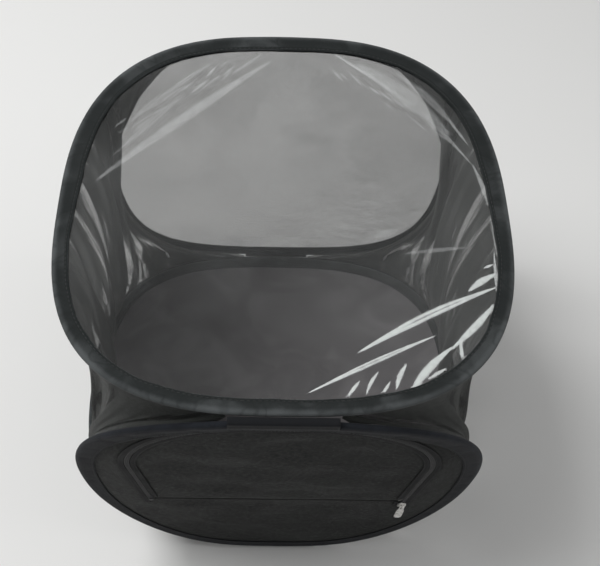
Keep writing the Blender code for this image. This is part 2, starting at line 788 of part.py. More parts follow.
def strip_section(axis, leg_one, leg_two, offsets):
    """Section of a strip that lines two faces meeting at an axis."""
    near, far = offsets
    square_one = (leg_two - leg_one * leg_two.dot(leg_one)).normalized()
    square_two = (leg_one - leg_two * leg_one.dot(leg_two)).normalized()
    corner = (leg_one + leg_two) / leg_one.cross(leg_two).length
    return [
        axis + corner * near,
        axis + leg_one * SEAM_TAPE_WIDTH + square_one * near,
        axis + leg_one * SEAM_TAPE_WIDTH + square_one * far,
        axis + corner * far,
        axis + leg_two * SEAM_TAPE_WIDTH + square_two * far,
        axis + leg_two * SEAM_TAPE_WIDTH + square_two * near,
    ]


def add_seam_tape(name, section, carrier):
    """Add a seam tape as its section run along the seam."""
    rings = [[p + RIGHT * end for p in section] for end in (-SEAM_HALF_LENGTH, SEAM_HALF_LENGTH)]
    add(name, sweep(name, rings, closed=False), BINDING, carrier)


def inner_strip(axis, level, upright):
    """Section of a seam tape inside the corner between two hoops."""
    near = SEAM_TAPE_GAP - SEAM_GAP
    return strip_section(axis, level, upright, (near, near + SEAM_TAPE_THICKNESS))


def outer_strip(axis, away, upright, level):
    """Section of a seam tape behind the corner, from one hoop's edge to the other."""
    hoop_depth = SEAM_GAP + 2 * EDGE_HALF
    near, far = hoop_depth + SEAM_TAPE_GAP, hoop_depth + SEAM_TAPE_GAP + SEAM_TAPE_THICKNESS
    shelf = EDGE_HALF + SEAM_GAP
    inner_foot = axis + level * shelf
    lean = upright * (-shelf / upright.dot(-level))
    return [
        inner_foot,
        inner_foot + level * SEAM_TAPE_THICKNESS,
        axis + away * far + lean * (1 + SEAM_TAPE_THICKNESS / shelf),
        axis + away * far + upright * SEAM_TAPE_WIDTH,
        axis + away * near + upright * SEAM_TAPE_WIDTH,
        axis + away * near + lean,
    ]


def side_boundary(hoop, start, stop):
    """Line down a hoop's right side, from seam to seam, for the side mesh's edge."""
    lift = -(EDGE_HALF + SEAM_TAPE_GAP + MESH_THICKNESS)
    dense = [(x, s) for x, s in hoop.outline(EDGE_HALF + SIDE_EDGE_INSET) if x > SIDE_CORNER]
    dense.sort(key=lambda p: p[1])
    places = [start] + [hoop.point(x, s, lift) for x, s in dense] + [stop]
    return np.array(places)


def spaced(line, count):
    """Resample a line at equal steps."""
    run = np.concatenate([[0], np.cumsum(np.linalg.norm(np.diff(line, axis=0), axis=1))])
    steps = np.linspace(0, run[-1], count)
    return np.stack([np.interp(steps, run, line[:, k]) for k in range(3)], 1)


def relaxed(edges):
    """Fill a rectangle of points so that each lies amid its four neighbours."""
    bottom, top, front, back = edges
    grid = np.zeros((SIDE_COLUMNS + 1, SIDE_ROWS + 1, 3))
    grid[:, 0], grid[:, -1], grid[0], grid[-1] = bottom, top, front, back
    inner = [(i, k) for i in range(1, SIDE_COLUMNS) for k in range(1, SIDE_ROWS)]
    index = {cell: n for n, cell in enumerate(inner)}
    weights, known = np.zeros((len(inner), len(inner))), np.zeros((len(inner), 3))
    for (i, k), n in index.items():
        weights[n, n] = 4
        for cell in ((i - 1, k), (i + 1, k), (i, k - 1), (i, k + 1)):
            if cell in index:
                weights[n, index[cell]] = -1
            else:
                known[n] += grid[cell]
    solved = np.linalg.solve(weights, known)
    for cell, n in index.items():
        grid[cell] = solved[n]
    return grid


def half_cells():
    """Corners of the triangles that halve each cell of the side mesh, both ways."""
    count = (SIDE_COLUMNS + 1) * (SIDE_ROWS + 1)
    index = np.arange(count).reshape(SIDE_COLUMNS + 1, SIDE_ROWS + 1)
    a, b, c, d = index[:-1, :-1], index[1:, :-1], index[1:, 1:], index[:-1, 1:]
    halves = ((a, b, c), (a, c, d), (a, b, d), (b, c, d))
    return np.concatenate([np.stack([p.ravel() for p in half], 1) for half in halves])


def drawn_tight(grid):
    """Draw filled points tight, towards the least surface that their edge allows."""
    points = grid.reshape(-1, 3).copy()
    inner = np.zeros(grid.shape[:2], bool)
    inner[1:-1, 1:-1] = True
    free, held = inner.ravel(), ~inner.ravel()
    cells = half_cells()
    for _ in range(SIDE_PASSES):
        pull = np.zeros((len(points), len(points)))
        for turn in range(3):
            one, two, tip = np.roll(cells, turn, axis=1).T
            first, second = points[one] - points[tip], points[two] - points[tip]
            size = np.linalg.norm(np.cross(first, second), axis=1)
            weight = np.sum(first * second, axis=1) / np.maximum(size, WELD**2)
            weight = np.maximum(weight, LEAST_PULL)
            np.add.at(pull, (one, two), weight)
            np.add.at(pull, (two, one), weight)
        stiff = np.diag(pull.sum(axis=1)[free]) - pull[np.ix_(free, free)]
        points[free] = np.linalg.solve(stiff, pull[np.ix_(free, held)] @ points[held])
    return points.reshape(grid.shape)


def side_grid():
    """Points of the right side mesh, with its gathered folds."""
    inset = SIDE_CORNER_INSET
    corners = {}
    for name, seam, level, upright in (
        ("ff", FLOOR_FRONT, REAR, UP_SIDE),
        ("fb", FLOOR_BACK, -REAR, UP_SIDE),
        ("tf", TOP_FRONT, REAR, -UP_SIDE),
        ("tb", TOP_BACK, -REAR, -UP_SIDE),
    ):
        corners[name] = seam + RIGHT * SIDE_CORNER + (level + upright) * inset
    bottom = side_boundary(FLOOR_HOOP, corners["ff"], corners["fb"])
    top = side_boundary(TOP_HOOP, corners["tf"], corners["tb"])
    front = side_boundary(FRONT_HOOP, corners["ff"], corners["tf"])
    back = side_boundary(BACK_HOOP, corners["fb"], corners["tb"])
    filled = relaxed(
        [
            spaced(bottom, SIDE_COLUMNS + 1),
            spaced(top, SIDE_COLUMNS + 1),
            spaced(front, SIDE_ROWS + 1),
            spaced(back, SIDE_ROWS + 1),
        ]
    )
    grid = drawn_tight(filled)
    along = np.gradient(grid, axis=0)
    up = np.gradient(grid, axis=1)
    normal = np.cross(along, up)
    normal /= np.linalg.norm(normal, axis=2)[:, :, None] + 1e-12
    across = np.linspace(0, 1, SIDE_COLUMNS + 1)[:, None]
    height = np.linspace(0, 1, SIDE_ROWS + 1)[None, :]
    hold = np.sin(math.pi * across) * np.sin(math.pi * height)
    wave = SIDE_FOLD_HEIGHT * hold * np.sin(2 * math.pi * SIDE_FOLDS * across)
    return grid + normal * wave[:, :, None]


def add_side_mesh(name, grid, side, carrier):
    """Add a side mesh from the right side's points, mirrored for the left."""
    bm = bmesh.new()
    rows = [[bm.verts.new((side * p[0], p[1], p[2])) for p in row] for row in grid]
    for a, b in zip(rows, rows[1:]):
        for k in range(SIDE_ROWS):
            bm.faces.new((a[k], b[k], b[k + 1], a[k + 1]))
    obj = add(name, mesh_from(bm, name), MESH, carrier)
    obj.data.shade_smooth()
    solidify(obj, MESH_THICKNESS)


clear_scene()
CAGE = collection("insect_cage")
SHAPES = collection("shapes_joined_in")
BINDING = material("binding", (0.026, 0.030, 0.028), 0.8)
MESH = material("mesh", (0.020, 0.021, 0.020), 0.9, alpha=0.5)
WINDOW = material("window", (0.9, 0.92, 0.92), 0.08, alpha=0.15)
FLOOR_CLOTH = material("floor_cloth", (0.10, 0.09, 0.10), 0.85)
STEEL = material("spring_steel", (0.45, 0.45, 0.46), 0.35, metallic=1.0)
SLEEVE = material("crimp_sleeve", (0.6, 0.5, 0.25), 0.35, metallic=1.0)
ZIP_CLOTH = material("zip_tape", (0.018, 0.018, 0.019), 0.85)
ZIP_TEETH = material("zip_teeth", (0.02, 0.02, 0.021), 0.4)
ZIP_METAL = material("zip_metal", (0.62, 0.62, 0.63), 0.3, metallic=1.0)

HINGE_LIFT = TAPE_LIFT + TOOTH_THICKNESS / 2
SILL_AXIS = front_matrix(HINGE_LIFT) @ Vector((0, DOOR_SILL, 0))
ROOT = pivot("floor_body", Vector((0, 0, 0)))
BACK_PIVOT = pivot("back_fold_axis", FLOOR_BACK)
FRONT_PIVOT = pivot("front_fold_axis", FLOOR_FRONT)
TOP_PIVOT = pivot("top_fold_axis", TOP_BACK)
DOOR_PIVOT = pivot("door_sill_axis", SILL_AXIS)
SLIDER_PIVOT = pivot("slider_rest", slider_matrix().translation)
PULL_PIVOT = pivot("pull_axis", pull_place())

add_hoop(FLOOR_HOOP, ROOT)
add_hoop(TOP_HOOP, TOP_PIVOT)
add_hoop(FRONT_HOOP, FRONT_PIVOT)
add_hoop(BACK_HOOP, BACK_PIVOT)
add_sheet(
    "floor_sheet",
    FLOOR_HOOP,
    FLOOR_THICKNESS,
    FLOOR_CLOTH,
    ROOT,
    landing=EDGE_HALF - FLOOR_THICKNESS / 2,
)
add_sheet("top_window", TOP_HOOP, WINDOW_THICKNESS, WINDOW, TOP_PIVOT)
add_sheet("back_mesh", BACK_HOOP, MESH_THICKNESS, MESH, BACK_PIVOT)
add_front_mesh(FRONT_PIVOT)
add_door_mesh(DOOR_PIVOT)
add_zip(FRONT_PIVOT, DOOR_PIVOT)
add_slider(SLIDER_PIVOT)
add_pull(PULL_PIVOT)
add_seam_tape("floor_front_seam", inner_strip(FLOOR_FRONT, REAR, UP_SIDE), ROOT)
add_seam_tape("top_back_seam", inner_strip(TOP_BACK, -REAR, -UP_SIDE), TOP_PIVOT)
add_seam_tape("floor_back_seam", outer_strip(FLOOR_BACK, -FORWARD, UP_SIDE, -UP), ROOT)
add_seam_tape("top_front_seam", outer_strip(TOP_FRONT, FORWARD, -UP_SIDE, UP), TOP_PIVOT)
SIDE_POINTS = side_grid()
add_side_mesh("side_mesh_right", SIDE_POINTS, 1, ROOT)
add_side_mesh("side_mesh_left", SIDE_POINTS, -1, ROOT)
bpy.context.view_layer.update()
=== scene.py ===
"""Pop-up insect cage: cloth, net, film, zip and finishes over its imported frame.

Lengths are in metres and +Z is up. The door faces -Y, and the origin is on the ground under
the middle of the floor.
"""

import logging
import math
from contextlib import contextmanager
from dataclasses import dataclass, field
from enum import Enum
from typing import Callable, Iterator, Optional, Sequence, Union

import bmesh
import bpy
import numpy as np
from mathutils import Matrix, Vector, geometry

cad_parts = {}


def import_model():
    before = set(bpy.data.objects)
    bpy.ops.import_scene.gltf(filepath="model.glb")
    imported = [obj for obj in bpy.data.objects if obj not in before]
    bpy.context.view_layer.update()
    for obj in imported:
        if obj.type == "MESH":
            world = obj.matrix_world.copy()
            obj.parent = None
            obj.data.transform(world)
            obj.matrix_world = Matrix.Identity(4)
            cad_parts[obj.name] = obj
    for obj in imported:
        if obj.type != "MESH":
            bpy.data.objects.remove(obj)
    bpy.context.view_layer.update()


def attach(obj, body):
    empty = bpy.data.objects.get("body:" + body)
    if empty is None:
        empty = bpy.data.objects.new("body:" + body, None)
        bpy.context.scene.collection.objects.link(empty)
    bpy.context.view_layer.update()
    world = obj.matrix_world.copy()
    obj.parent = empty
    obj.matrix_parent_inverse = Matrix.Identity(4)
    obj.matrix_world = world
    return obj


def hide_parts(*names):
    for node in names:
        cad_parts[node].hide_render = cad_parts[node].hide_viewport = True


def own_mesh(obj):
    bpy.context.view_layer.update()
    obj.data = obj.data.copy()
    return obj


LOG = logging.getLogger("insect_cage")
Number = Union[int, float, "Value"]
Colour = tuple[float, float, float]

RIGHT = np.array((1.0, 0.0, 0.0))
REAR = np.array((0.0, 1.0, 0.0))
UP = np.array((0.0, 0.0, 1.0))


class Body(Enum):
    """The bodies that the pieces move with."""

    FLOOR = "floor_body"
    BACK = "back_hoop"
    FRONT = "front_hoop"
    TOP = "top_hoop"
    DOOR = "door_flap"


class Slot(Enum):
    """The record's material slots, passed along with the pieces made here."""

    BINDING = "binding_tape"
    MESH = "mesh"
    FLOOR = "floor_cloth"
    WINDOW = "window_film"
    ZIP_TAPE = "zip_tape"
    ZIP_TEETH = "zip_teeth"


# ---------------------------------------------------------------- shader maths


class Value:
    """A shader socket that takes part in Python's sums."""

    def __init__(self, surface: "Surface", socket: bpy.types.NodeSocket) -> None:
        """Wrap a socket of a surface's node tree."""
        self.surface = surface
        self.socket = socket

    def __add__(self, other: Number) -> "Value":
        """Sum."""
        return self.surface.maths("ADD", self, other)

    __radd__ = __add__

    def __sub__(self, other: Number) -> "Value":
        """Difference."""
        return self.surface.maths("SUBTRACT", self, other)

    def __rsub__(self, other: Number) -> "Value":
        """Difference from a number."""
        return self.surface.maths("SUBTRACT", other, self)

    def __mul__(self, other: Number) -> "Value":
        """Product."""
        return self.surface.maths("MULTIPLY", self, other)

    __rmul__ = __mul__

    def __truediv__(self, other: Number) -> "Value":
        """Quotient."""
        return self.surface.maths("DIVIDE", self, other)

    def __pow__(self, other: Number) -> "Value":
        """Power."""
        return self.surface.maths("POWER", self, other)

    def sine(self) -> "Value":
        """Sine of an angle."""
        return self.surface.maths("SINE", self)

    def size(self) -> "Value":
        """Value without its sign."""
        return self.surface.maths("ABSOLUTE", self)

    def wave(self, length: float) -> "Value":
        """Triangle wave of one wavelength, from 0 on a line to 1 midway between lines."""
        return self.surface.maths("PINGPONG", self, length / 2) * (2 / length)

    def ramp(self, low: float, high: float, to_low: float = 0.0, to_high: float = 1.0) -> "Value":
        """Clamped smooth change from one value to another."""
        made = self.surface.node(
            "ShaderNodeMapRange",
            {"interpolation_type": "SMOOTHSTEP"},
            {"Value": self, "From Min": low, "From Max": high, "To Min": to_low, "To Max": to_high},
        )
        return Value(self.surface, made.outputs["Result"])

    def most(self, other: Number) -> "Value":
        """The larger of two values."""
        return self.surface.maths("MAXIMUM", self, other)


class Surface:
    """A material's node tree, built round its Principled shader."""

    def __init__(self, name: str) -> None:
        """Make an empty material of that name."""
        self.material = bpy.data.materials.new(name)
        self.material.use_nodes = True
        self.tree = self.material.node_tree
        self.shader = self.tree.nodes["Principled BSDF"]

    def node(
        self, kind: str, settings: Optional[dict] = None, values: Optional[dict] = None
    ) -> bpy.types.Node:
        """Add a node.

        Args:
            kind: The node's type.
            settings: The node's own options, set first.
            values: Numbers, colours or Values for its sockets, by name or index.

        Returns:
            The node.
        """
        made = self.tree.nodes.new(kind)
        for key, option in (settings or {}).items():
            setattr(made, key, option)
        for key, value in (values or {}).items():
            self.feed(made.inputs[key], value)
        return made

    def feed(self, socket: bpy.types.NodeSocket, value: object) -> None:
        """Link a Value to a socket, or set the socket's own value."""
        if isinstance(value, Value):
            self.tree.links.new(value.socket, socket)
        else:
            socket.default_value = value

    def maths(self, operation: str, first: Number, second: Number = 0.0) -> Value:
        """Add a Math node and return its result."""
        made = self.node("ShaderNodeMath", {"operation": operation}, {0: first, 1: second})
        return Value(self, made.outputs[0])

    def uv(self) -> tuple[Value, Value]:
        """Distances across the cloth, in metres, from the piece's own map."""
        source = self.node("ShaderNodeUVMap", {"uv_map": "cloth"})
        split = self.node("ShaderNodeSeparateXYZ", None, {0: Value(self, source.outputs[0])})
        return Value(self, split.outputs[0]), Value(self, split.outputs[1])

    def place(self) -> Value:
        """The point's place in the object."""
        return Value(self, self.node("ShaderNodeTexCoord").outputs["Object"])

    def plane(self, first: Value, second: Value) -> Value:
        """A place made of two distances."""
        made = self.node("ShaderNodeCombineXYZ", None, {0: first, 1: second})
        return Value(self, made.outputs[0])

    def noise(self, where: Value, scale: float, detail: float = 3.0, lean: float = 0.0) -> Value:
        """Noise about 0.5 at a place."""
        made = self.node(
            "ShaderNodeTexNoise",
            None,
            {"Vector": where, "Scale": scale, "Detail": detail, "Distortion": lean},
        )
        return Value(self, made.outputs[0])

    def attribute(self, name: str) -> Value:
        """A number stored on the mesh."""
        made = self.node("ShaderNodeAttribute", {"attribute_name": name})
        return Value(self, made.outputs["Fac"])

    def colour(self, share: Number, first: Colour, second: Colour) -> Value:
        """Mix two colours."""
        made = self.node(
            "ShaderNodeMix",
            {"data_type": "RGBA"},
            {0: share, 6: (*first, 1.0), 7: (*second, 1.0)},
        )
        return Value(self, made.outputs[2])

    def dress(self, **values: object) -> None:
        """Set the shader's sockets; a word in the name stands for a space in the socket's."""
        for key, value in values.items():
            self.feed(self.shader.inputs[key.replace("_", " ")], value)

    def bump(self, height: Value, distance: float, strength: float = 1.0) -> None:
        """Raise the surface by a height."""
        made = self.node(
            "ShaderNodeBump", None, {"Height": height, "Distance": distance, "Strength": strength}
        )
        self.dress(Normal=Value(self, made.outputs[0]))


# ---------------------------------------------------------------- finishes


@dataclass(frozen=True)
class WovenTape:
    """Narrow woven tape: a fine rib across it, dusty in patches; where it is sewn, a painted
    highlight lightens its nose and painted shade darkens its groove and pinches.
    """

    name: str
    colour: Colour
    dust_and_highlight: Colour
    rib: float = 0.0009
    dust_share: float = 0.35
    roughness: float = 0.78
    sheen: float = 0.14
    middle: float = 0.0
    groove: float = 0.0

    def material(self) -> bpy.types.Material:
        """Build the tape's material, with painted shade along a sewn groove at a distance from its
        middle, painted shade in pinch creases across it and a painted highlight on its nose.
        """
        surface = Surface(self.name)
        along, across = surface.uv()
        where = surface.place()
        turn = math.tau / self.rib
        ribs = (along * turn).sine() * (across * (turn / 1.6)).sine()
        fluff = surface.noise(where, 900, 2)
        worn = surface.noise(where, 26, 4, 0.4)
        share = worn.ramp(0.38, 0.72) * self.dust_share + ribs * 0.10 + fluff * 0.16
        if self.groove:
            reach = (across - self.middle).size()
            # Painted shade: along the sewn groove the lighter share falls to nothing, leaving the
            # plain dark colour; the mask also roughens and sinks the groove.
            sewn_groove_and_shade = (reach - self.groove).size().ramp(0.0006, 0.002)
            # Painted shade: thin pinch creases across the tape keep only 0.72 of the lighter share;
            # they also roughen and dent it.
            pinch_and_shade = surface.noise(surface.plane(along * 34, across * 22), 1.0, 2, 0.8) - 0.5
            pinch_and_shade = pinch_and_shade.size().ramp(0.0, 0.06, 0.72, 1.0)
            # Painted highlight: the tape is lightened within a few millimetres of its nose, the
            # rounded edge over the wire where light falls.
            share = (share + reach.ramp(0.002, 0.009, 0.42, 0.0)) * sewn_groove_and_shade * pinch_and_shade
            worn = worn + sewn_groove_and_shade + pinch_and_shade * 2
        share = share.ramp(0.0, 0.9)
        surface.dress(
            Base_Color=surface.colour(share, self.colour, self.dust_and_highlight),
            Roughness=worn.ramp(0.3, 0.7, self.roughness, self.roughness + 0.14),
            Sheen_Weight=self.sheen,
            Sheen_Roughness=0.4,
            Specular_IOR_Level=0.18,
        )
        surface.bump(ribs * 0.5 + fluff * 0.8 + worn, 0.00016, 0.8)
        return surface.material


@dataclass(frozen=True)
class Net:
    """Fine knitted net: two crossing sets of threads with open cells between."""

    name: str
    colour: Colour
    shine: Colour
    cell: float = 0.0009
    cover: float = 0.55
    skew: float = 0.0
    gather: float = 0.0
    sheen: float = 0.15

    def material(self) -> bpy.types.Material:
        """Build the net's material, open between its threads."""
        surface = Surface(self.name)
        across, along = surface.uv()
        where = surface.place()
        waver = surface.noise(where, 60, 2) * (self.cell * 0.8)
        thread = 1 - math.sqrt(1 - self.cover)
        first = (across + along * self.skew + waver).wave(self.cell)
        second = (along - across * self.skew + waver).wave(self.cell)
        line = (1 - first).most(1 - second)
        open_to = line.ramp(1 - thread - 0.18, 1 - thread + 0.18)
        stretch = surface.noise(where, 14, 3, 0.6)
        depth = 0.35
        if self.gather:
            upright = surface.plane(across * self.gather, along * self.gather * 0.06)
            stretch = surface.noise(upright, 1.0, 3, 0.3).ramp(0.41, 0.49, 0.2, 1.0)
            depth = 0.9
        alpha = (open_to + (stretch - 0.5) * depth).ramp(0.0, 1.0, 0.05, 0.99)
        surface.dress(
            Base_Color=surface.colour(stretch.ramp(0.35, 0.75), self.colour, self.shine),
            Roughness=surface.noise(where, 300, 2).ramp(0.2, 0.8, 0.62, 0.85),
            Alpha=alpha,
            Sheen_Weight=self.sheen,
            Specular_IOR_Level=0.12,
        )
        surface.bump(line, 0.00015, 0.7)
        return surface.material


@dataclass(frozen=True)
class PlainCloth:
    """Light woven nylon with a faint square weave and soft creases."""

    name: str
    colour: Colour
    shine: Colour
    thread: float = 0.0007

    def material(self) -> bpy.types.Material:
        """Build the cloth's material."""
        surface = Surface(self.name)
        across, along = surface.uv()
        where = surface.place()
        turn = math.tau / self.thread
        weave = (across * turn).sine() * (along * turn).sine()
        crumple = surface.noise(where, 17, 5, 0.9)
        speck = surface.noise(where, 300, 2)
        share = (crumple.ramp(0.3, 0.75) * 0.6 + weave * 0.02 + speck * 0.04).ramp(0.0, 1.0)
        surface.dress(
            Base_Color=surface.colour(share, self.colour, self.shine),
            Roughness=crumple.ramp(0.3, 0.7, 0.62, 0.8),
            Sheen_Weight=0.1,
            Specular_IOR_Level=0.2,
        )
        soft = surface.noise(where, 17, 1, 0.9)
        surface.bump(soft * 6 + weave * 0.012 + speck * 0.02, 0.0005, 0.5)
        return surface.material


@dataclass(frozen=True)
class ClearFilm:
    """Clear soft vinyl: a thin mirror, whitened where it is creased, partly by stress and partly as
    a painted highlight of the glints along its creases.
    """

    name: str
    tint: Colour
    # Colour of the whitened creases: stress whitening and a painted highlight.
    crease: Colour
    clear: float = 0.014

    def material(self) -> bpy.types.Material:
        """Build the film's material, with its creases from the mesh's own attribute."""
        surface = Surface(self.name)
        where = surface.place()
        crease = surface.attribute("crease")
        broken = surface.noise(where, 90, 4, 0.6)
        # The creases are painted whitish and nearly opaque: partly stress whitening, partly a
        # painted highlight standing in for glints on them.
        whitening_and_glint = crease * broken.ramp(0.3, 0.65, 0.55, 1.0)
        haze = surface.noise(where, 7, 2, 0.4)
        surface.dress(
            Base_Color=surface.colour(whitening_and_glint, self.tint, self.crease),
            Metallic=1 - whitening_and_glint * 0.9,
            Roughness=whitening_and_glint.ramp(0.0, 0.6, 0.08, 0.42),
            Alpha=haze.ramp(0.3, 0.8) * 0.02 + self.clear + whitening_and_glint * 0.8,
            Specular_IOR_Level=0.6,
        )
        surface.bump(haze, 0.0006, 0.25)
        return surface.material


@dataclass(frozen=True)
class Moulded:
    """Moulded or drawn plastic, such as zip teeth and thread."""

    name: str
    colour: Colour
    worn: Colour
    roughness: float = 0.42

    def material(self) -> bpy.types.Material:
        """Build the plastic's material."""
        surface = Surface(self.name)
        where = surface.place()
        grain = surface.noise(where, 1500, 2)
        rub = surface.noise(where, 180, 3)
        surface.dress(
            Base_Color=surface.colour(rub.ramp(0.45, 0.8), self.colour, self.worn),
            Roughness=rub.ramp(0.3, 0.7, self.roughness, self.roughness + 0.18),
            Specular_IOR_Level=0.45,
        )
        surface.bump(grain, 0.00005, 0.5)
        return surface.material


@dataclass(frozen=True)
class Metal:
    """Plated or bare metal with rubbed high spots and fine scratches."""

    name: str
    colour: Colour
    dull: Colour
    roughness: float = 0.28

    def material(self) -> bpy.types.Material:
        """Build the metal's material."""
        surface = Surface(self.name)
        where = surface.place()
        tarnish = surface.noise(where, 420, 4, 0.6)
        scratch = surface.noise(where, 2600, 2, 2.0)
        surface.dress(
            Base_Color=surface.colour(tarnish.ramp(0.4, 0.75), self.colour, self.dull),
            Metallic=1.0,
            Roughness=(tarnish * 0.25 + scratch * 0.15).ramp(
                0.0, 0.4, self.roughness, self.roughness + 0.25
            ),
        )
        surface.bump(scratch, 0.00003, 0.5)
        return surface.material


@dataclass(frozen=True)
class Finishes:
    """Every finish of the cage, each made once."""

    binding: bpy.types.Material
    shaded_binding: bpy.types.Material
    seam: bpy.types.Material
    net: bpy.types.Material
    front_net: bpy.types.Material
    side_net: bpy.types.Material
    floor: bpy.types.Material
    film: bpy.types.Material
    zip_tape: bpy.types.Material
    teeth: bpy.types.Material
    thread: bpy.types.Material
    metal: bpy.types.Material
    wire: bpy.types.Material
    crimp: bpy.types.Material

    @staticmethod
    def make() -> "Finishes":
        """Build every material."""
        black, grey = (0.008, 0.010, 0.010), (0.072, 0.078, 0.080)
        # Colours of the darker copy of the binding tape: painted shade for the front hoop.
        shade_black, shade_grey = (0.0025, 0.003, 0.0045), (0.012, 0.014, 0.018)
        sewn_groove_and_shade = {"middle": 0.0190, "groove": 0.0166}
        return Finishes(
            binding=WovenTape("binding_tape", black, grey, **sewn_groove_and_shade).material(),
            # Painted shade: a darker copy of the binding tape, with less sheen, for the front hoop,
            # which faces down and away from the lamps.
            shaded_binding=WovenTape(
                "black_binding_tape", shade_black, shade_grey, sheen=0.05, **sewn_groove_and_shade
            ).material(),
            # Painted shade: the seam tapes are the same tape made near-black, like the shaded front
            # binding, for the shade where the hoops meet.
            seam=WovenTape(
                "seam_tape", (0.0025, 0.003, 0.004), (0.012, 0.013, 0.015), sheen=0.05
            ).material(),
            net=Net("net", (0.010, 0.011, 0.010), (0.035, 0.037, 0.035), cover=0.44).material(),
            # Painted shade: a darker, denser copy of the net with less sheen, for the front and its
            # door, which face down and away from the lamps.
            front_net=Net(
                "front_net", (0.003, 0.0035, 0.003), (0.009, 0.010, 0.009), cover=0.88, sheen=0.03
            ).material(),
            side_net=Net(
                "side_net",
                (0.008, 0.009, 0.008),
                (0.03, 0.032, 0.03),
                cover=0.74,
                skew=0.25,
                gather=75.0,
                sheen=0.08,
            ).material(),
            floor=PlainCloth("floor_nylon", (0.105, 0.099, 0.102), (0.19, 0.181, 0.186)).material(),
            film=ClearFilm("window_film", (0.93, 0.95, 0.95), (0.58, 0.62, 0.60)).material(),
            zip_tape=WovenTape(
                "zip_tape",
                (0.002, 0.002, 0.0025),
                (0.008, 0.008, 0.009),
                rib=0.0007,
                dust_share=0.1,
                sheen=0.02,
            ).material(),
            teeth=Moulded("zip_teeth", (0.004, 0.004, 0.0045), (0.02, 0.02, 0.021)).material(),
            thread=Moulded("thread", (0.010, 0.011, 0.011), (0.035, 0.036, 0.036), 0.6).material(),
            metal=Metal("zip_metal", (0.70, 0.69, 0.67), (0.33, 0.32, 0.30)).material(),
            wire=Metal("spring_wire", (0.34, 0.34, 0.35), (0.16, 0.15, 0.14), 0.35).material(),
            crimp=Metal("crimp_sleeve", (0.62, 0.48, 0.22), (0.30, 0.22, 0.10), 0.35).material(),
        )


# ---------------------------------------------------------------- mesh helpers


def add(name: str, data: bpy.types.ID) -> bpy.types.Object:
    """Put new data in the scene as an object."""
    made = bpy.data.objects.new(name, data)
    bpy.context.collection.objects.link(made)
    return made


@contextmanager
def edited(data: bpy.types.Mesh) -> Iterator[bmesh.types.BMesh]:
    """Open a mesh for a change, after which its faces are turned to one side."""
    work = bmesh.new()
    work.from_mesh(data)
    yield work
    bmesh.ops.recalc_face_normals(work, faces=work.faces)
    work.to_mesh(data)
    work.free()


def face_along(piece: bpy.types.Object, way: np.ndarray, index: int = 0) -> None:
    """Turn a piece's faces over if one of them looks against a direction."""
    if np.array(piece.data.polygons[index].normal) @ way < 0:
        piece.data.flip_normals()


def run_along(line: np.ndarray) -> np.ndarray:
    """Distance along a line at each of its points."""
    return np.concatenate([[0], np.cumsum(np.linalg.norm(np.diff(line, axis=0), axis=1))])


def chart_of(rows: np.ndarray, columns: np.ndarray) -> np.ndarray:
    """The map of a grid, from the distances of its rows and its columns."""
    return np.stack(np.broadcast_arrays(rows[:, None], columns[None, :]), -1)


def skin(
    name: str,
    points: np.ndarray,
    chart: np.ndarray,
    closed: tuple[bool, bool],
    finish: bpy.types.Material,
) -> bpy.types.Object:
    """Make a grid of faces with a map of its own in metres.

    Args:
        name: The piece's name.
        points: Places, as rows by columns by 3.
        chart: The map, as (rows + 1) by (columns + 1) by 2 where a side is closed.
        closed: Whether the rows and the columns run round in a ring.
        finish: The piece's material.

    Returns:
        The piece.
    """
    rows, columns = points.shape[:2]
    span_rows, span_columns = rows - (not closed[0]), columns - (not closed[1])
    faces, corners = [], []
    for i in range(span_rows):
        for k in range(span_columns):
            i2, k2 = (i + 1) % rows, (k + 1) % columns
            faces.append(
                (i * columns + k, i2 * columns + k, i2 * columns + k2, i * columns + k2)
            )
            corners += [chart[i, k], chart[i + 1, k], chart[i + 1, k + 1], chart[i, k + 1]]
    data = bpy.data.meshes.new(name)
    data.from_pydata(points.reshape(-1, 3).tolist(), [], faces)
    layer = data.uv_layers.new(name="cloth")
    layer.data.foreach_set("uv", np.array(corners, np.float32).ravel())
    data.materials.append(finish)
    data.shade_smooth()
    data.update()
    return add(name, data)


def centre_fan(piece: bpy.types.Object, ring: Sequence[int]) -> None:
    """Close the hole inside a ring of a grid's points with a flat face."""
    with edited(piece.data) as work:
        work.verts.ensure_lookup_table()
        face = work.faces.new([work.verts[i] for i in ring])
        face.smooth = True
        layer = work.loops.layers.uv["cloth"]
        for loop in face.loops:
            near = [o[layer].uv.copy() for o in loop.vert.link_loops if o.face is not face]
            if near:
                loop[layer].uv = near[0]


def thicken(piece: bpy.types.Object, thickness: float, offset: float = 0.0) -> None:
    """Give a skin its wall, and fix it in the mesh."""
    wall = piece.modifiers.new("wall", "SOLIDIFY")
    wall.thickness = thickness
    wall.offset = offset
    settle(piece)


def settle(piece: bpy.types.Object) -> None:
    """Fix a piece's modifiers in its mesh."""
    bpy.context.view_layer.update()
    graph = bpy.context.evaluated_depsgraph_get()
    made = bpy.data.meshes.new_from_object(
        piece.evaluated_get(graph), preserve_all_data_layers=True, depsgraph=graph
    )
    piece.modifiers.clear()
    old, piece.data = piece.data, made
    bpy.data.meshes.remove(old)
    made.name = piece.name


def finish_piece(
    piece: bpy.types.Object, body: Body, slot: Slot, *nodes: str
) -> bpy.types.Object:
    """Let a piece ride on its body, in place of the nodes that it stands for."""
    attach(piece, body.value)
    if nodes:
        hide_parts(*nodes)
    LOG.info("%s: %d faces on %s", piece.name, len(piece.data.polygons), body.value)
    return piece


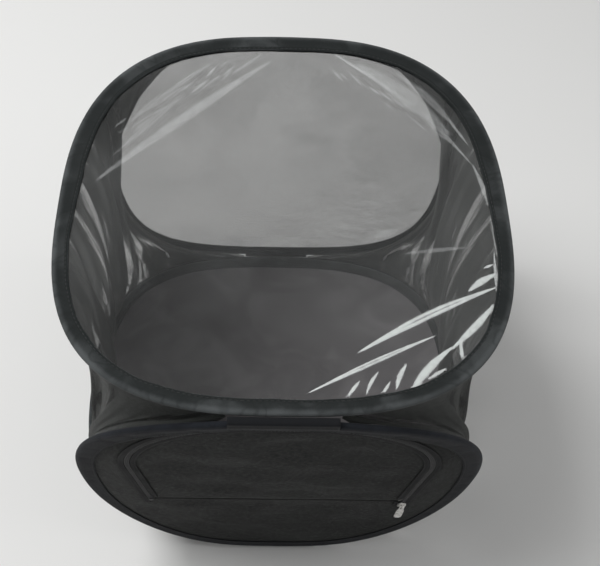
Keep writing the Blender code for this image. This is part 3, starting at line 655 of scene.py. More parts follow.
def hold_flat(
    piece: bpy.types.Object,
    thickness: float,
    place: tuple[Body, Slot, str],
) -> bpy.types.Object:
    """Give a skin its wall and its body.

    Args:
        piece: The skin, still without a wall.
        thickness: The wall's.
        place: The piece's body, its slot and the node that it stands for.

    Returns:
        The piece.
    """
    thicken(piece, thickness)
    finish_piece(piece, *place)
    return piece


def unit(vectors: np.ndarray) -> np.ndarray:
    """Vectors scaled to length 1."""
    return vectors / np.maximum(np.linalg.norm(vectors, axis=-1, keepdims=True), 1e-12)


# ---------------------------------------------------------------- geometry nodes


class Beads:
    """A node tree that sets small capsules along lines: stitches or zip teeth."""

    SIZES = ("Spacing", "Length", "Thickness", "Height", "Shift")
    NODES = {
        "given": "NodeGroupInput",
        "result": "NodeGroupOutput",
        "curve": "GeometryNodeMeshToCurve",
        "points": "GeometryNodeCurveToPoints",
        "square": "ShaderNodeVectorMath",
        "aside": "ShaderNodeVectorMath",
        "shift": "GeometryNodeSetPosition",
        "normal": "GeometryNodeInputNamedAttribute",
        "first": "FunctionNodeAlignRotationToVector",
        "second": "FunctionNodeAlignRotationToVector",
        "ball": "GeometryNodeMeshUVSphere",
        "shape": "ShaderNodeCombineXYZ",
        "spread": "GeometryNodeInstanceOnPoints",
        "real": "GeometryNodeRealizeInstances",
        "smooth": "GeometryNodeSetShadeSmooth",
        "paint": "GeometryNodeSetMaterial",
    }
    OPTIONS = (
        ("points", "mode", "LENGTH"),
        ("square", "operation", "CROSS_PRODUCT"),
        ("aside", "operation", "SCALE"),
        ("normal", "data_type", "FLOAT_VECTOR"),
        ("first", "axis", "X"),
        ("second", "axis", "Z"),
        ("second", "pivot_axis", "X"),
    )
    LINKS = (
        ("given", "Lines", "curve", 0),
        ("curve", 0, "points", "Curve"),
        ("given", "Spacing", "points", "Length"),
        ("points", "Points", "shift", "Geometry"),
        ("points", "Tangent", "square", 0),
        ("normal", 0, "square", 1),
        ("square", "Vector", "aside", 0),
        ("given", "Shift", "aside", "Scale"),
        ("aside", "Vector", "shift", "Offset"),
        ("shift", "Geometry", "spread", "Points"),
        ("points", "Tangent", "first", "Vector"),
        ("first", 0, "second", "Rotation"),
        ("normal", 0, "second", "Vector"),
        ("second", 0, "spread", "Rotation"),
        ("ball", "Mesh", "spread", "Instance"),
        ("given", "Length", "shape", 0),
        ("given", "Thickness", "shape", 1),
        ("given", "Height", "shape", 2),
        ("shape", 0, "spread", "Scale"),
        ("spread", 0, "real", 0),
        ("real", 0, "smooth", 0),
        ("smooth", 0, "paint", "Geometry"),
        ("paint", 0, "result", 0),
    )

    def __init__(self, name: str, finish: bpy.types.Material, sides: int, rings: int) -> None:
        """Build the tree once, for every line that takes this capsule."""
        self.finish = finish
        self.tree = bpy.data.node_groups.new(name, "GeometryNodeTree")
        face = self.tree.interface
        face.new_socket("Lines", in_out="INPUT", socket_type="NodeSocketGeometry")
        for size in self.SIZES:
            face.new_socket(size, in_out="INPUT", socket_type="NodeSocketFloat")
        face.new_socket("Capsules", in_out="OUTPUT", socket_type="NodeSocketGeometry")
        nodes = {key: self.tree.nodes.new(kind) for key, kind in self.NODES.items()}
        for key, option, choice in self.OPTIONS:
            setattr(nodes[key], option, choice)
        for key, socket, value in (
            ("normal", "Name", "lift"),
            ("ball", "Segments", sides),
            ("ball", "Rings", rings),
            ("ball", "Radius", 0.5),
            ("paint", "Material", finish),
        ):
            nodes[key].inputs[socket].default_value = value
        for giver, output, taker, socket in self.LINKS:
            self.tree.links.new(nodes[giver].outputs[output], nodes[taker].inputs[socket])

    def along(
        self, name: str, lines: Sequence[tuple[np.ndarray, np.ndarray]], sizes: Sequence[float]
    ) -> bpy.types.Object:
        """Set capsules along lines.

        Args:
            name: The piece's name.
            lines: Points of each line, with the direction that its capsules stand up in.
            sizes: Spacing, length, thickness, height and sideways shift of a capsule.

        Returns:
            The capsules, as one plain mesh.
        """
        data = bpy.data.meshes.new(name)
        places, edges, lifts = [], [], []
        for points, lift in lines:
            start = len(places)
            places += points.tolist()
            lifts.append(lift)
            edges += [(start + i, start + i + 1) for i in range(len(points) - 1)]
        data.from_pydata(places, edges, [])
        store = data.attributes.new("lift", "FLOAT_VECTOR", "POINT")
        store.data.foreach_set("vector", np.concatenate(lifts).astype(np.float32).ravel())
        made = add(name, data)
        grow = made.modifiers.new("capsules", "NODES")
        grow.node_group = self.tree
        for item in self.tree.interface.items_tree:
            if item.in_out == "INPUT" and item.name in self.SIZES:
                grow[item.identifier] = float(sizes[self.SIZES.index(item.name)])
        settle(made)
        if not made.data.materials:
            made.data.materials.append(self.finish)
        return made


# Spacing, length, thickness, height and sideways shift of each kind of stitch.
BINDING_STITCH = (0.0042, 0.0031, 0.0006, 0.0005, 0.0)
SEAM_STITCH = (0.0040, 0.0030, 0.0005, 0.0004, 0.0)
ZIP_STITCH = (0.0031, 0.0023, 0.0004, 0.0003, 0.0)


# ---------------------------------------------------------------- the hoops


@dataclass
class Sizes:
    """Sizes that the pieces of the cage share."""

    floor_depth: float = 0.390
    side_rise: float = 0.436
    lean: float = 0.073
    edge_half: float = 0.00245
    seam_gap: float = 0.0002
    seam_inset: float = 0.0003
    seam_half: float = 0.040
    binding_wall: float = 0.00045
    binding_width: float = 0.0175
    slit_half: float = 0.00055
    tuck: float = 0.0012
    lip_margin: float = 0.001
    stitch_lift: float = 0.0001
    net_thickness: float = 0.0004
    film_thickness: float = 0.0003
    floor_thickness: float = 0.0005

    @property
    def span(self) -> float:
        """Length of the leaning front and back, from seam to seam."""
        return math.hypot(self.lean, self.side_rise)

    @property
    def axis_height(self) -> float:
        """Height of the floor's seams."""
        return 2 * self.edge_half + self.seam_gap

    @property
    def up_side(self) -> np.ndarray:
        """Direction up the front and back."""
        return np.array((0.0, -self.lean, self.side_rise)) / self.span

    @property
    def forward(self) -> np.ndarray:
        """Direction out of the front."""
        return np.array((0.0, -self.side_rise, -self.lean)) / self.span

    def seam(self, top: bool, back: bool) -> np.ndarray:
        """Middle of one of the four seams."""
        base = np.array((0.0, self.floor_depth / 2 * (1 if back else -1), self.axis_height))
        return base + self.up_side * self.span * top


SIZES = Sizes()


@dataclass
class Hoop:
    """One sprung hoop: its place, its outline and its bow."""

    name: str
    body: Body
    first: np.ndarray
    second: np.ndarray
    outward: np.ndarray
    half_width: float
    exponent: float
    far_exponent: float
    bow: float = 0.0
    narrow: float = 0.0
    narrow_from: float = 0.06
    narrow_run: float = 0.12
    count: int = 312

    @property
    def along(self) -> np.ndarray:
        """Direction from the first seam to the second."""
        return unit(self.second - self.first)

    @property
    def centre(self) -> np.ndarray:
        """Middle of the hoop, in the plane of its wire."""
        middle = (self.first + self.second) / 2
        return middle + self.outward * (SIZES.seam_gap + SIZES.edge_half)

    @property
    def half_length(self) -> float:
        """Half of the hoop's outer length."""
        return float(np.linalg.norm(self.second - self.first)) / 2 - SIZES.seam_inset

    def quarter(self, inset: float, exponent: float) -> np.ndarray:
        """Points (x, s) from the right side to the far seam, inside the outer edge."""
        across, length = self.half_width - inset, self.half_length - inset
        turn = np.linspace(0, math.pi / 2, 900)
        x = across * np.cos(turn) ** (2 / exponent)
        s = length * np.sin(turn) ** (2 / exponent)
        x[-1] = 0
        run = np.concatenate([[0], np.cumsum(np.hypot(np.diff(x), np.diff(s)))])
        steps = np.linspace(0, run[-1], self.count // 4 + 1)
        return np.stack([np.interp(steps, run, x), np.interp(steps, run, s)], 1)

    def outline(self, inset: float) -> np.ndarray:
        """Points (x, s) of a ring that lies an inset inside the outer edge."""
        far = self.quarter(inset, self.far_exponent)
        near = self.quarter(inset, self.exponent) * (1, -1)
        left = (far * (-1, 1))[-2::-1]
        return np.concatenate([far, left, (near * (-1, 1))[1:], near[-2:0:-1]])

    def depth(self, x: np.ndarray) -> np.ndarray:
        """How far the sheet lies inside the plane of the seams."""
        start = SIZES.seam_half + SIZES.seam_inset
        past = np.maximum(np.abs(x) - start, 0)
        return self.bow * (past / (self.half_width - start)) ** 2

    def point(self, x: np.ndarray, s: np.ndarray, lift: object = 0.0) -> np.ndarray:
        """Places on the bowed sheet, or lifted off it."""
        return self.flat_point(x, s, lift - self.depth(x))

    def flat_point(self, x: np.ndarray, s: np.ndarray, lift: object = 0.0) -> np.ndarray:
        """Places in the plane of the seams, or lifted off it."""
        x, s, lift = np.broadcast_arrays(x, s, lift)
        return (
            self.centre
            + x[..., None] * RIGHT
            + s[..., None] * self.along
            + lift[..., None] * self.outward
        )

    def normal(self, x: np.ndarray) -> np.ndarray:
        """Direction square to the bowed sheet."""
        start = SIZES.seam_half + SIZES.seam_inset
        past = np.maximum(np.abs(x) - start, 0)
        slope = np.sign(x) * 2 * self.bow * past / (self.half_width - start) ** 2
        return unit(self.outward + slope[..., None] * RIGHT)

    def ring(self) -> tuple[np.ndarray, np.ndarray, np.ndarray, np.ndarray]:
        """The wire's places, with inward and outward directions and the run round it."""
        flat = self.outline(SIZES.edge_half)
        places = self.point(flat[:, 0], flat[:, 1])
        outward = self.normal(flat[:, 0])
        tangent = unit(np.roll(places, -1, 0) - np.roll(places, 1, 0))
        inward = unit(np.cross(tangent, outward))
        flip = np.sum(inward * (self.centre - places), 1) < 0
        inward[flip] *= -1
        steps = np.linalg.norm(np.roll(places, -1, 0) - places, axis=1)
        return places, inward, outward, np.concatenate([[0], np.cumsum(steps)])

    def lip(self) -> np.ndarray:
        """How far the binding reaches in from the wire, less where its near side is drawn in."""
        along = self.outline(SIZES.edge_half)[:, 1]
        near = np.clip((self.narrow_from - along) / self.narrow_run, 0, 1)
        turn = math.tau * np.arange(self.count) / self.count
        uneven = np.sin(turn * 23 + 1) * np.sin(turn * 7) * 0.0004 * (self.narrow > 0)
        full = SIZES.binding_width - SIZES.edge_half
        return full * (1 - self.narrow * near * near * (3 - 2 * near)) + uneven

    def held(self, reach: Union[float, np.ndarray]) -> np.ndarray:
        """A ring in the middle of the binding's slit, at a reach from the wire."""
        places, inward, _, _ = self.ring()
        return places + inward * np.broadcast_to(reach, len(places))[:, None]

    def sheet_rings(self, margin: float) -> list[np.ndarray]:
        """Rings (x, s, lift) of a sheet: its edge in the slit, and one a margin past the lip."""
        reaches = (SIZES.edge_half + SIZES.tuck, self.lip() + margin)
        loops = [self.held(reach) - self.centre for reach in reaches]
        axes = (RIGHT, self.along, self.outward)
        return [np.stack([loop @ axis for axis in axes], 1) for loop in loops]


LOW_FRONT, LOW_BACK = SIZES.seam(False, False), SIZES.seam(False, True)
TOP_FRONT, TOP_BACK = SIZES.seam(True, False), SIZES.seam(True, True)
HOOPS = {
    "floor": Hoop("floor", Body.FLOOR, LOW_FRONT, LOW_BACK, -UP, 0.221, 2.84, 2.84),
    "top": Hoop("top", Body.TOP, TOP_FRONT, TOP_BACK, UP, 0.185, 2.77, 2.77, 0.010, 0.28),
    "front": Hoop(
        "front", Body.FRONT, LOW_FRONT, TOP_FRONT, SIZES.forward, 0.178, 2.3, 2.3, 0.019
    ),
    "back": Hoop("back", Body.BACK, LOW_BACK, TOP_BACK, -SIZES.forward, 0.202, 3.4, 2.4),
}


@dataclass
class Binding:
    """The folded tape round a hoop, puckered where it turns, with its two rows of stitches."""

    hoop: Hoop
    finishes: Finishes
    stitches: Beads
    pucker: float = 0.00030
    bulge: float = 0.0007
    pinches: int = 34
    pinch_half: float = 0.0045
    stitch_margin: float = 0.0022
    seed: int = 0

    def profile(self) -> np.ndarray:
        """Half section (reach, height) of the tape's outer face, from lip to nose."""
        lip = SIZES.binding_width - SIZES.edge_half
        high, low = SIZES.edge_half, SIZES.slit_half + SIZES.binding_wall
        points = [(lip, low)]
        for share in (0.10, 0.22, 0.36, 0.50, 0.62, 0.72, 0.80, 0.87, 0.94, 1.0):
            ease = np.clip((share - 0.35) / 0.65, 0, 1)
            ease = 0.15 * share + 0.85 * ease * ease * (3 - 2 * ease)
            points.append((lip * (1 - share), low + (high - low) * ease))
        for angle in np.linspace(0, math.pi / 2, 5)[1:]:
            points.append((-high * math.sin(angle), high * math.cos(angle)))
        return np.array(points)

    def section(self) -> np.ndarray:
        """Whole section of the outer face, from lip round the wire to lip."""
        half = self.profile()
        return np.concatenate([half, (half * (1, -1))[-2::-1]])

    def build(self) -> list[bpy.types.Object]:
        """Make the tape and its stitches."""
        places, inward, outward, run = self.hoop.ring()
        section = self.section()
        rng = np.random.default_rng(self.seed)
        phase = rng.uniform(0, math.tau, 6)
        turn = math.tau * np.arange(self.hoop.count) / self.hoop.count
        spots = (np.arange(self.pinches) + rng.uniform(-0.3, 0.3, self.pinches)) / self.pinches
        depths = rng.uniform(0.1, 1.0, self.pinches)
        away = (turn[:, None] / math.tau - spots[None, :] + 0.5) % 1 - 0.5
        full = 1 - np.max(np.exp(-((away * run[-1] / self.pinch_half) ** 2)) * depths, axis=1)
        ripple = sum(
            np.sin(k * turn + phase[i]) * share
            for i, (k, share) in enumerate(
                ((52, 0.5), (41, 0.4), (29, 0.35), (17, 0.3), (9, 0.25), (64, 0.35))
            )
        )
        reach, height = section[:, 0], section[:, 1]
        slack = np.clip(reach / reach.max(), 0, 1)
        drift = ripple[:, None] * slack[None, :] ** 1.5 * self.pucker
        puff = np.sign(height) * np.sin(math.pi * slack**0.7) * self.bulge
        depth = np.maximum(reach, 0)[None, :] * (self.hoop.lip() / reach.max())[:, None]
        depth = depth + np.minimum(reach, 0)[None, :] - np.abs(drift) * 0.6
        rise = height[None, :] + drift * 0.5 + full[:, None] * puff[None, :]
        points = (
            places[:, None]
            + inward[:, None] * depth[..., None]
            + outward[:, None] * rise[..., None]
        )
        chart = chart_of(run, run_along(section))
        # The front hoop takes the darker copy of the binding: painted shade.
        black = self.hoop.body is Body.FRONT
        finish = self.finishes.shaded_binding if black else self.finishes.binding
        tape = skin(self.hoop.name + "_binding_tape", points, chart, (True, False), finish)
        with edited(tape.data):
            nose = len(section) // 2
        face_along(tape, np.array(tape.data.polygons[nose].center) - places[0], nose)
        thicken(tape, SIZES.binding_wall, -1.0)
        finish_piece(tape, self.hoop.body, Slot.BINDING, self.hoop.name + "_binding")
        return [tape, self.sew(places, inward, outward)]

    def sew(
        self, places: np.ndarray, inward: np.ndarray, outward: np.ndarray
    ) -> bpy.types.Object:
        """Make the stitches that hold the sheet in the tape, on both faces."""
        lip = self.hoop.lip()
        half = self.profile()
        share = (lip - self.stitch_margin) / lip * half[0, 0]
        height = np.interp(-share, -half[:10, 0], half[:10, 1]) + 0.00012
        height = height + np.sin(math.pi * (share / half[0, 0]) ** 0.7) * self.bulge
        lines = []
        for side in (1, -1):
            reach = (lip - self.stitch_margin)[:, None]
            line = places + inward * reach + outward * side * height[:, None]
            lines.append(
                (np.concatenate([line, line[:1]]), np.concatenate([outward, outward[:1]]) * side)
            )
        made = self.stitches.along(self.hoop.name + "_binding_stitches", lines, BINDING_STITCH)
        return finish_piece(made, self.hoop.body, Slot.BINDING)


# ---------------------------------------------------------------- sheets in the hoops


@dataclass
class Panel:
    """A sheet stretched in a hoop: rings from the slit in to the middle."""

    name: str
    hoop: Hoop
    finish: bpy.types.Material
    slot: Slot
    thickness: float
    node: str
    relief: Callable[[np.ndarray, np.ndarray], np.ndarray]
    rings: int = 62
    landing: float = 0.0
    landing_run: float = 0.030

    def build(self) -> bpy.types.Object:
        """Make the sheet."""
        hoop = self.hoop
        edge = hoop.held(SIZES.edge_half + SIZES.tuck) - hoop.centre
        lip = hoop.held(hoop.lip() + SIZES.lip_margin) - hoop.centre
        grids = [np.stack([loop @ RIGHT, loop @ hoop.along], 1) for loop in (edge, lip)]
        shares = np.linspace(1, 0, self.rings + 1)[:-1]
        flat = np.concatenate([grids[0][None], grids[1][None] * shares[:, None, None]])
        x, s = flat[..., 0], flat[..., 1]
        reach = 1 - np.concatenate([[1.0], shares])[:, None]
        hold = np.clip(reach * 6, 0, 1) ** 2
        size = np.hypot(lip[:, 0], lip @ hoop.along)[None, :]
        fall = np.clip(reach * size / self.landing_run, 0, 1)
        lift = self.relief(x, s) * hold + self.landing * fall * fall * (3 - 2 * fall)
        points = hoop.point(x, s, lift)
        points[0], points[1] = edge + hoop.centre, lip + hoop.centre
        wrapped = np.concatenate([flat, flat[:, :1]], 1)
        chart = np.concatenate([wrapped, wrapped[-1:]], 0)
        piece = skin(self.name, points, chart, (False, True), self.finish)
        last = len(points) - 1
        centre_fan(piece, [last * hoop.count + k for k in range(hoop.count)])
        face_along(piece, hoop.outward)
        stands_for = (hoop.body, self.slot, self.node)
        return hold_flat(piece, self.thickness, stands_for)


@dataclass(frozen=True)
class Crease:
    """One crease in the film, from (x, s) to (x2, s2), sometimes split down its middle."""

    x: float
    s: float
    x2: float
    s2: float
    half: float
    strength: float
    bend: float
    split: float

    def frame(self) -> tuple[np.ndarray, np.ndarray, float]:
        """Its direction, the direction square to it, and its length."""
        run = np.array((self.x2 - self.x, self.s2 - self.s))
        length = float(np.hypot(*run))
        way = run / length
        return way, np.array((-way[1], way[0])), length

    def reach(self, along: np.ndarray) -> np.ndarray:
        """Half width at a share of the length: a leaf with drawn-out tips."""
        ends = np.clip(along / 0.4, 0, 1) * np.clip((1 - along) / 0.4, 0, 1)
        return self.half * (0.12 + 0.88 * ends**0.8)

    def points(self) -> np.ndarray:
        """Points (x, s) on and beside the crease, for the film's mesh to follow."""
        way, square, length = self.frame()
        along = np.linspace(-0.02, 1.02, max(7, round(length / 0.0024)))[:, None]
        shares = np.array((-2.0, -1.3, -1.0, -0.7, -0.4, -0.15, 0.0, 0.15, 0.4, 0.7, 1.0, 1.3, 2.0))
        off = self.bend * np.sin(np.clip(along, 0, 1) * math.pi) + self.reach(along) * shares
        base = np.array((self.x, self.s)) + along[..., None] * length * way
        return (base + off[..., None] * square).reshape(-1, 2)

    def mask(self, flat: np.ndarray) -> np.ndarray:
        """How strongly the crease shows at each point (x, s)."""
        way, square, length = self.frame()
        place = flat - (self.x, self.s)
        along = place @ way / length
        off = place @ square - self.bend * np.sin(np.clip(along, 0, 1) * math.pi)
        share = np.abs(off) / self.reach(along)
        body = np.clip((1.35 - share) / 0.75, 0, 1)
        tips = np.clip(along / 0.04, 0, 1) * np.clip((1 - along) / 0.04, 0, 1)
        core = np.clip((along - 0.3) / 0.1, 0, 1) * np.clip((0.8 - along) / 0.1, 0, 1)
        core = core * np.clip(1 - share / 0.42, 0, 1) * self.split
        return self.strength * body * body * (3 - 2 * body) * tips * (1 - core)


CREASES = [
    Crease(*sizes)
    for sizes in (
        (0.054, -0.142, 0.166, -0.076, 0.0028, 1.00, 0.0024, 0.8),
        (0.017, -0.176, 0.114, -0.124, 0.0017, 0.90, 0.0006, 0.7),
        (0.089, -0.177, 0.126, -0.133, 0.0026, 1.00, 0.0024, 0.0),
        (0.124, -0.136, 0.164, -0.090, 0.0024, 1.00, -0.0014, 0.0),
        (0.132, -0.146, 0.132, -0.126, 0.0013, 0.90, 0.0000, 0.0),
        (0.045, -0.179, 0.055, -0.165, 0.0012, 0.90, 0.0000, 0.0),
        (0.059, -0.176, 0.069, -0.157, 0.0012, 0.95, 0.0010, 0.0),
        (0.070, -0.177, 0.077, -0.165, 0.0010, 0.80, 0.0000, 0.0),
        (0.081, -0.172, 0.090, -0.150, 0.0016, 1.00, 0.0014, 0.0),
        (0.105, -0.162, 0.119, -0.152, 0.0011, 0.80, 0.0000, 0.0),
        (0.157, -0.059, 0.166, -0.054, 0.0010, 0.70, 0.0000, 0.0),
        (0.143, -0.082, 0.167, -0.063, 0.0024, 1.00, 0.0010, 0.0),
        (0.168, -0.040, 0.165, -0.090, 0.0011, 0.40, 0.0000, 0.0),
        (0.070, -0.034, 0.092, -0.026, 0.0030, 0.06, 0.0000, 0.0),
        (0.093, -0.050, 0.148, -0.039, 0.0018, 0.10, 0.0000, 0.0),
        (-0.158, 0.023, -0.011, 0.165, 0.0046, 0.15, 0.0008, 0.0),
        (-0.145, 0.051, -0.091, 0.118, 0.0026, 0.08, 0.0000, 0.5),
        (-0.133, 0.090, -0.096, 0.132, 0.0030, 0.09, 0.0010, 0.4),
        (-0.110, 0.115, -0.065, 0.161, 0.0022, 0.10, 0.0010, 0.4),
        (-0.070, 0.141, -0.061, 0.156, 0.0011, 0.26, 0.0000, 0.0),
        (-0.055, 0.138, -0.045, 0.157, 0.0011, 0.14, 0.0000, 0.0),
        (-0.047, 0.146, -0.020, 0.173, 0.0016, 0.10, 0.0000, 0.0),
        (0.038, 0.181, 0.114, 0.113, 0.0017, 0.24, 0.0010, 0.0),
        (0.065, 0.164, 0.144, 0.080, 0.0085, 0.11, 0.0040, 0.0),
        (0.101, 0.153, 0.149, 0.092, 0.0040, 0.11, 0.0030, 0.3),
        (0.119, 0.108, 0.160, 0.049, 0.0016, 0.18, 0.0010, 0.0),
        (0.143, 0.102, 0.159, 0.071, 0.0012, 0.20, 0.0000, 0.0),
        (0.160, 0.051, 0.170, 0.000, 0.0018, 0.22, 0.0012, 0.0),
        (0.170, 0.005, 0.170, -0.046, 0.0011, 0.20, 0.0000, 0.0),
    )
]


def fine_creases(count: int = 15) -> list[Crease]:
    """Make the fine creases that fan out from the rim, at the far left and the far right."""
    rng = np.random.default_rng(5)
    made = []
    for side, lean in ((-1, 0.77), (1, 2.25)):
        for i in range(count):
            share = (i + rng.uniform(-0.4, 0.4)) / (count - 1)
            x = side * (0.142 - 0.092 * share) + rng.uniform(-0.004, 0.004)
            s = 0.080 + 0.076 * share + rng.uniform(-0.008, 0.006)
            turn = lean + rng.uniform(-0.2, 0.2)
            half = rng.uniform(0.005, 0.015) * np.array((math.cos(turn), math.sin(turn)))
            strength = rng.uniform(0.05, 0.20)
            ends = (x - half[0], s - half[1], x + half[0], s + half[1])
            made.append(Crease(*ends, rng.uniform(0.0007, 0.0013), strength, 0.0, 0.0))
    return made


CREASES += fine_creases()


# ---------------------------------------------------------------- the camera and the light


@dataclass
class Studio:
    """A pale floor, soft lamps and the camera."""

    distance: float = 0.6006
    height: float = 1.0881
    tilt: float = 0.964
    turn: float = 0.026
    roll: float = 0.036
    focal_pixels: float = 1020.7
    width_pixels: float = 600.0
    centre_x: float = 278.8

    def camera(self) -> None:
        """Set the camera where the photograph's was."""
        data = bpy.data.cameras.new("view")
        data.sensor_width = 36.0
        data.lens = self.focal_pixels / self.width_pixels * data.sensor_width
        data.shift_x = 0.5 - self.centre_x / self.width_pixels
        data.clip_start, data.clip_end = 0.05, 50.0
        right = Vector((1, 0, 0))
        ahead = Vector((0, math.cos(self.tilt), -math.sin(self.tilt)))
        above = Vector((0, math.sin(self.tilt), math.cos(self.tilt)))
        side = right * math.cos(self.roll) + above * math.sin(self.roll)
        top = above * math.cos(self.roll) - right * math.sin(self.roll)
        frame = Matrix((side, top, -ahead)).transposed().to_4x4()
        place = Matrix.Translation((0, -self.distance, self.height))
        seat = add("view", data)
        seat.matrix_world = Matrix.Rotation(-self.turn, 4, "Z") @ place @ frame
        bpy.context.scene.camera = seat

    def lamp(
        self, name: str, place: Sequence[float], aim: Sequence[float], size: float, power: float
    ) -> None:
        """Hang a soft square lamp that shines on a point."""
        data = bpy.data.lights.new(name, "AREA")
        data.shape = "SQUARE"
        data.size = size
        data.energy = power
        made = add(name, data)
        made.location = place
        made.rotation_mode = "QUATERNION"
        made.rotation_quaternion = (Vector(aim) - Vector(place)).to_track_quat("-Z", "Y")

    def pale(self, name: str, colour: Colour) -> bpy.types.Material:
        """A pale matt finish for the floor."""
        surface = Surface(name)
        surface.dress(Base_Color=(*colour, 1.0), Roughness=0.9, Specular_IOR_Level=0.1)
        return surface.material

    def build(self) -> None:
        """Set up the floor, the lamps and the world."""
        work = bmesh.new()
        bmesh.ops.create_grid(work, x_segments=1, y_segments=1, size=6.0)
        data = bpy.data.meshes.new("studio_floor")
        work.to_mesh(data)
        work.free()
        data.materials.append(self.pale("studio_floor", (0.80, 0.80, 0.79)))
        floor = add("studio_floor", data)
        floor.location = (0, 0, -0.0006)
        world = bpy.data.worlds.new("studio")
        bpy.context.scene.world = world
        world.use_nodes = True
        tree = world.node_tree
        sky = tree.nodes["Background"]
        sky.inputs["Color"].default_value = (1.0, 1.0, 1.0, 1.0)
        path = tree.nodes.new("ShaderNodeLightPath")
        seen = path.outputs["Is Camera Ray"]
        for ray in ("Is Glossy Ray", "Is Transmission Ray"):
            most = tree.nodes.new("ShaderNodeMath")
            most.operation = "MAXIMUM"
            tree.links.new(seen, most.inputs[0])
            tree.links.new(path.outputs[ray], most.inputs[1])
            seen = most.outputs[0]
        scale = tree.nodes.new("ShaderNodeMapRange")
        scale.inputs["To Min"].default_value = 0.30
        scale.inputs["To Max"].default_value = 1.0
        tree.links.new(seen, scale.inputs["Value"])
        tree.links.new(scale.outputs[0], sky.inputs["Strength"])
        self.lamp("key", (-0.85, -0.1, 2.1), (0, 0, 0.25), 0.9, 31.0)
        self.lamp("fill", (1.5, -0.3, 1.4), (0, 0, 0.3), 1.0, 5.0)
        self.lamp("rear", (-1.4, 1.5, 1.3), (0, 0, 0.3), 0.8, 9.0)


def filled(
    bottom: np.ndarray, top: np.ndarray, front: np.ndarray, back: np.ndarray
) -> np.ndarray:
    """Fill a rectangle of points so that each lies amid its four neighbours.

    Args:
        bottom: Edge along the floor hoop.
        top: Edge along the top hoop.
        front: Edge up the front hoop.
        back: Edge up the back hoop.

    Returns:
        The grid of points, columns by rows by 3.
    """
    columns, rows = len(bottom), len(front)
    grid = np.zeros((columns, rows, 3))
    grid[:, 0], grid[:, -1], grid[0], grid[-1] = bottom, top, front, back
    known = np.zeros((columns - 2, rows - 2, 3))
    known[:, 0] += bottom[1:-1]
    known[:, -1] += top[1:-1]
    known[0] += front[1:-1]
    known[-1] += back[1:-1]
    values, waves = [], []
    for count in known.shape[:2]:
        chain = 2 * np.eye(count) - np.eye(count, k=1) - np.eye(count, k=-1)
        value, wave = np.linalg.eigh(chain)
        values.append(value)
        waves.append(wave)
    stiff = values[0][:, None] + values[1][None, :]
    for k in range(3):
        share = waves[0].T @ known[..., k] @ waves[1] / stiff
        grid[1:-1, 1:-1, k] = waves[0] @ share @ waves[1].T
    return grid


def spaced(line: np.ndarray, count: int) -> np.ndarray:
    """Resample a line at equal steps."""
    run = run_along(line)
    steps = np.linspace(0, run[-1], count)
    return np.stack([np.interp(steps, run, line[:, k]) for k in range(3)], 1)


def drawn_tight(grid: np.ndarray, passes: int = 5, least: float = 0.02) -> np.ndarray:
    """Draw a filled grid towards the least surface that its edge allows."""
    columns, rows = grid.shape[:2]
    points = grid.reshape(-1, 3).copy()
    index = np.arange(columns * rows).reshape(columns, rows)
    a, b, c, d = index[:-1, :-1], index[1:, :-1], index[1:, 1:], index[:-1, 1:]
    halves = ((a, b, c), (a, c, d), (a, b, d), (b, c, d))
    cells = np.concatenate([np.stack([p.ravel() for p in half], 1) for half in halves])
    free = np.zeros((columns, rows), bool)
    free[1:-1, 1:-1] = True
    free, held = free.ravel(), ~free.ravel()
    for _ in range(passes):
        pull = np.zeros((len(points), len(points)))
        for turn in range(3):
            one, two, tip = np.roll(cells, turn, axis=1).T
            first, second = points[one] - points[tip], points[two] - points[tip]
            size = np.linalg.norm(np.cross(first, second), axis=1)
            weight = np.maximum(np.sum(first * second, 1) / np.maximum(size, 1e-12), least)
            np.add.at(pull, (one, two), weight)
            np.add.at(pull, (two, one), weight)
        stiff = np.diag(pull.sum(1)[free]) - pull[np.ix_(free, free)]
        points[free] = np.linalg.solve(stiff, pull[np.ix_(free, held)] @ points[held])
    return points.reshape(grid.shape)


def finer(count: int, times: int) -> np.ndarray:
    """Matrix that sets points between others, on cubic curves through them."""
    at = np.arange((count - 1) * times + 1) / times
    start = np.minimum(at.astype(int), count - 2)
    f = at - start
    weights = (-f + 2 * f**2 - f**3, 2 - 5 * f**2 + 3 * f**3, f + 4 * f**2 - 3 * f**3, f**3 - f**2)
    matrix = np.zeros((len(at), count))
    for k, weight in enumerate(weights):
        np.add.at(matrix, (np.arange(len(at)), np.clip(start + k - 1, 0, count - 1)), weight / 2)
    return matrix


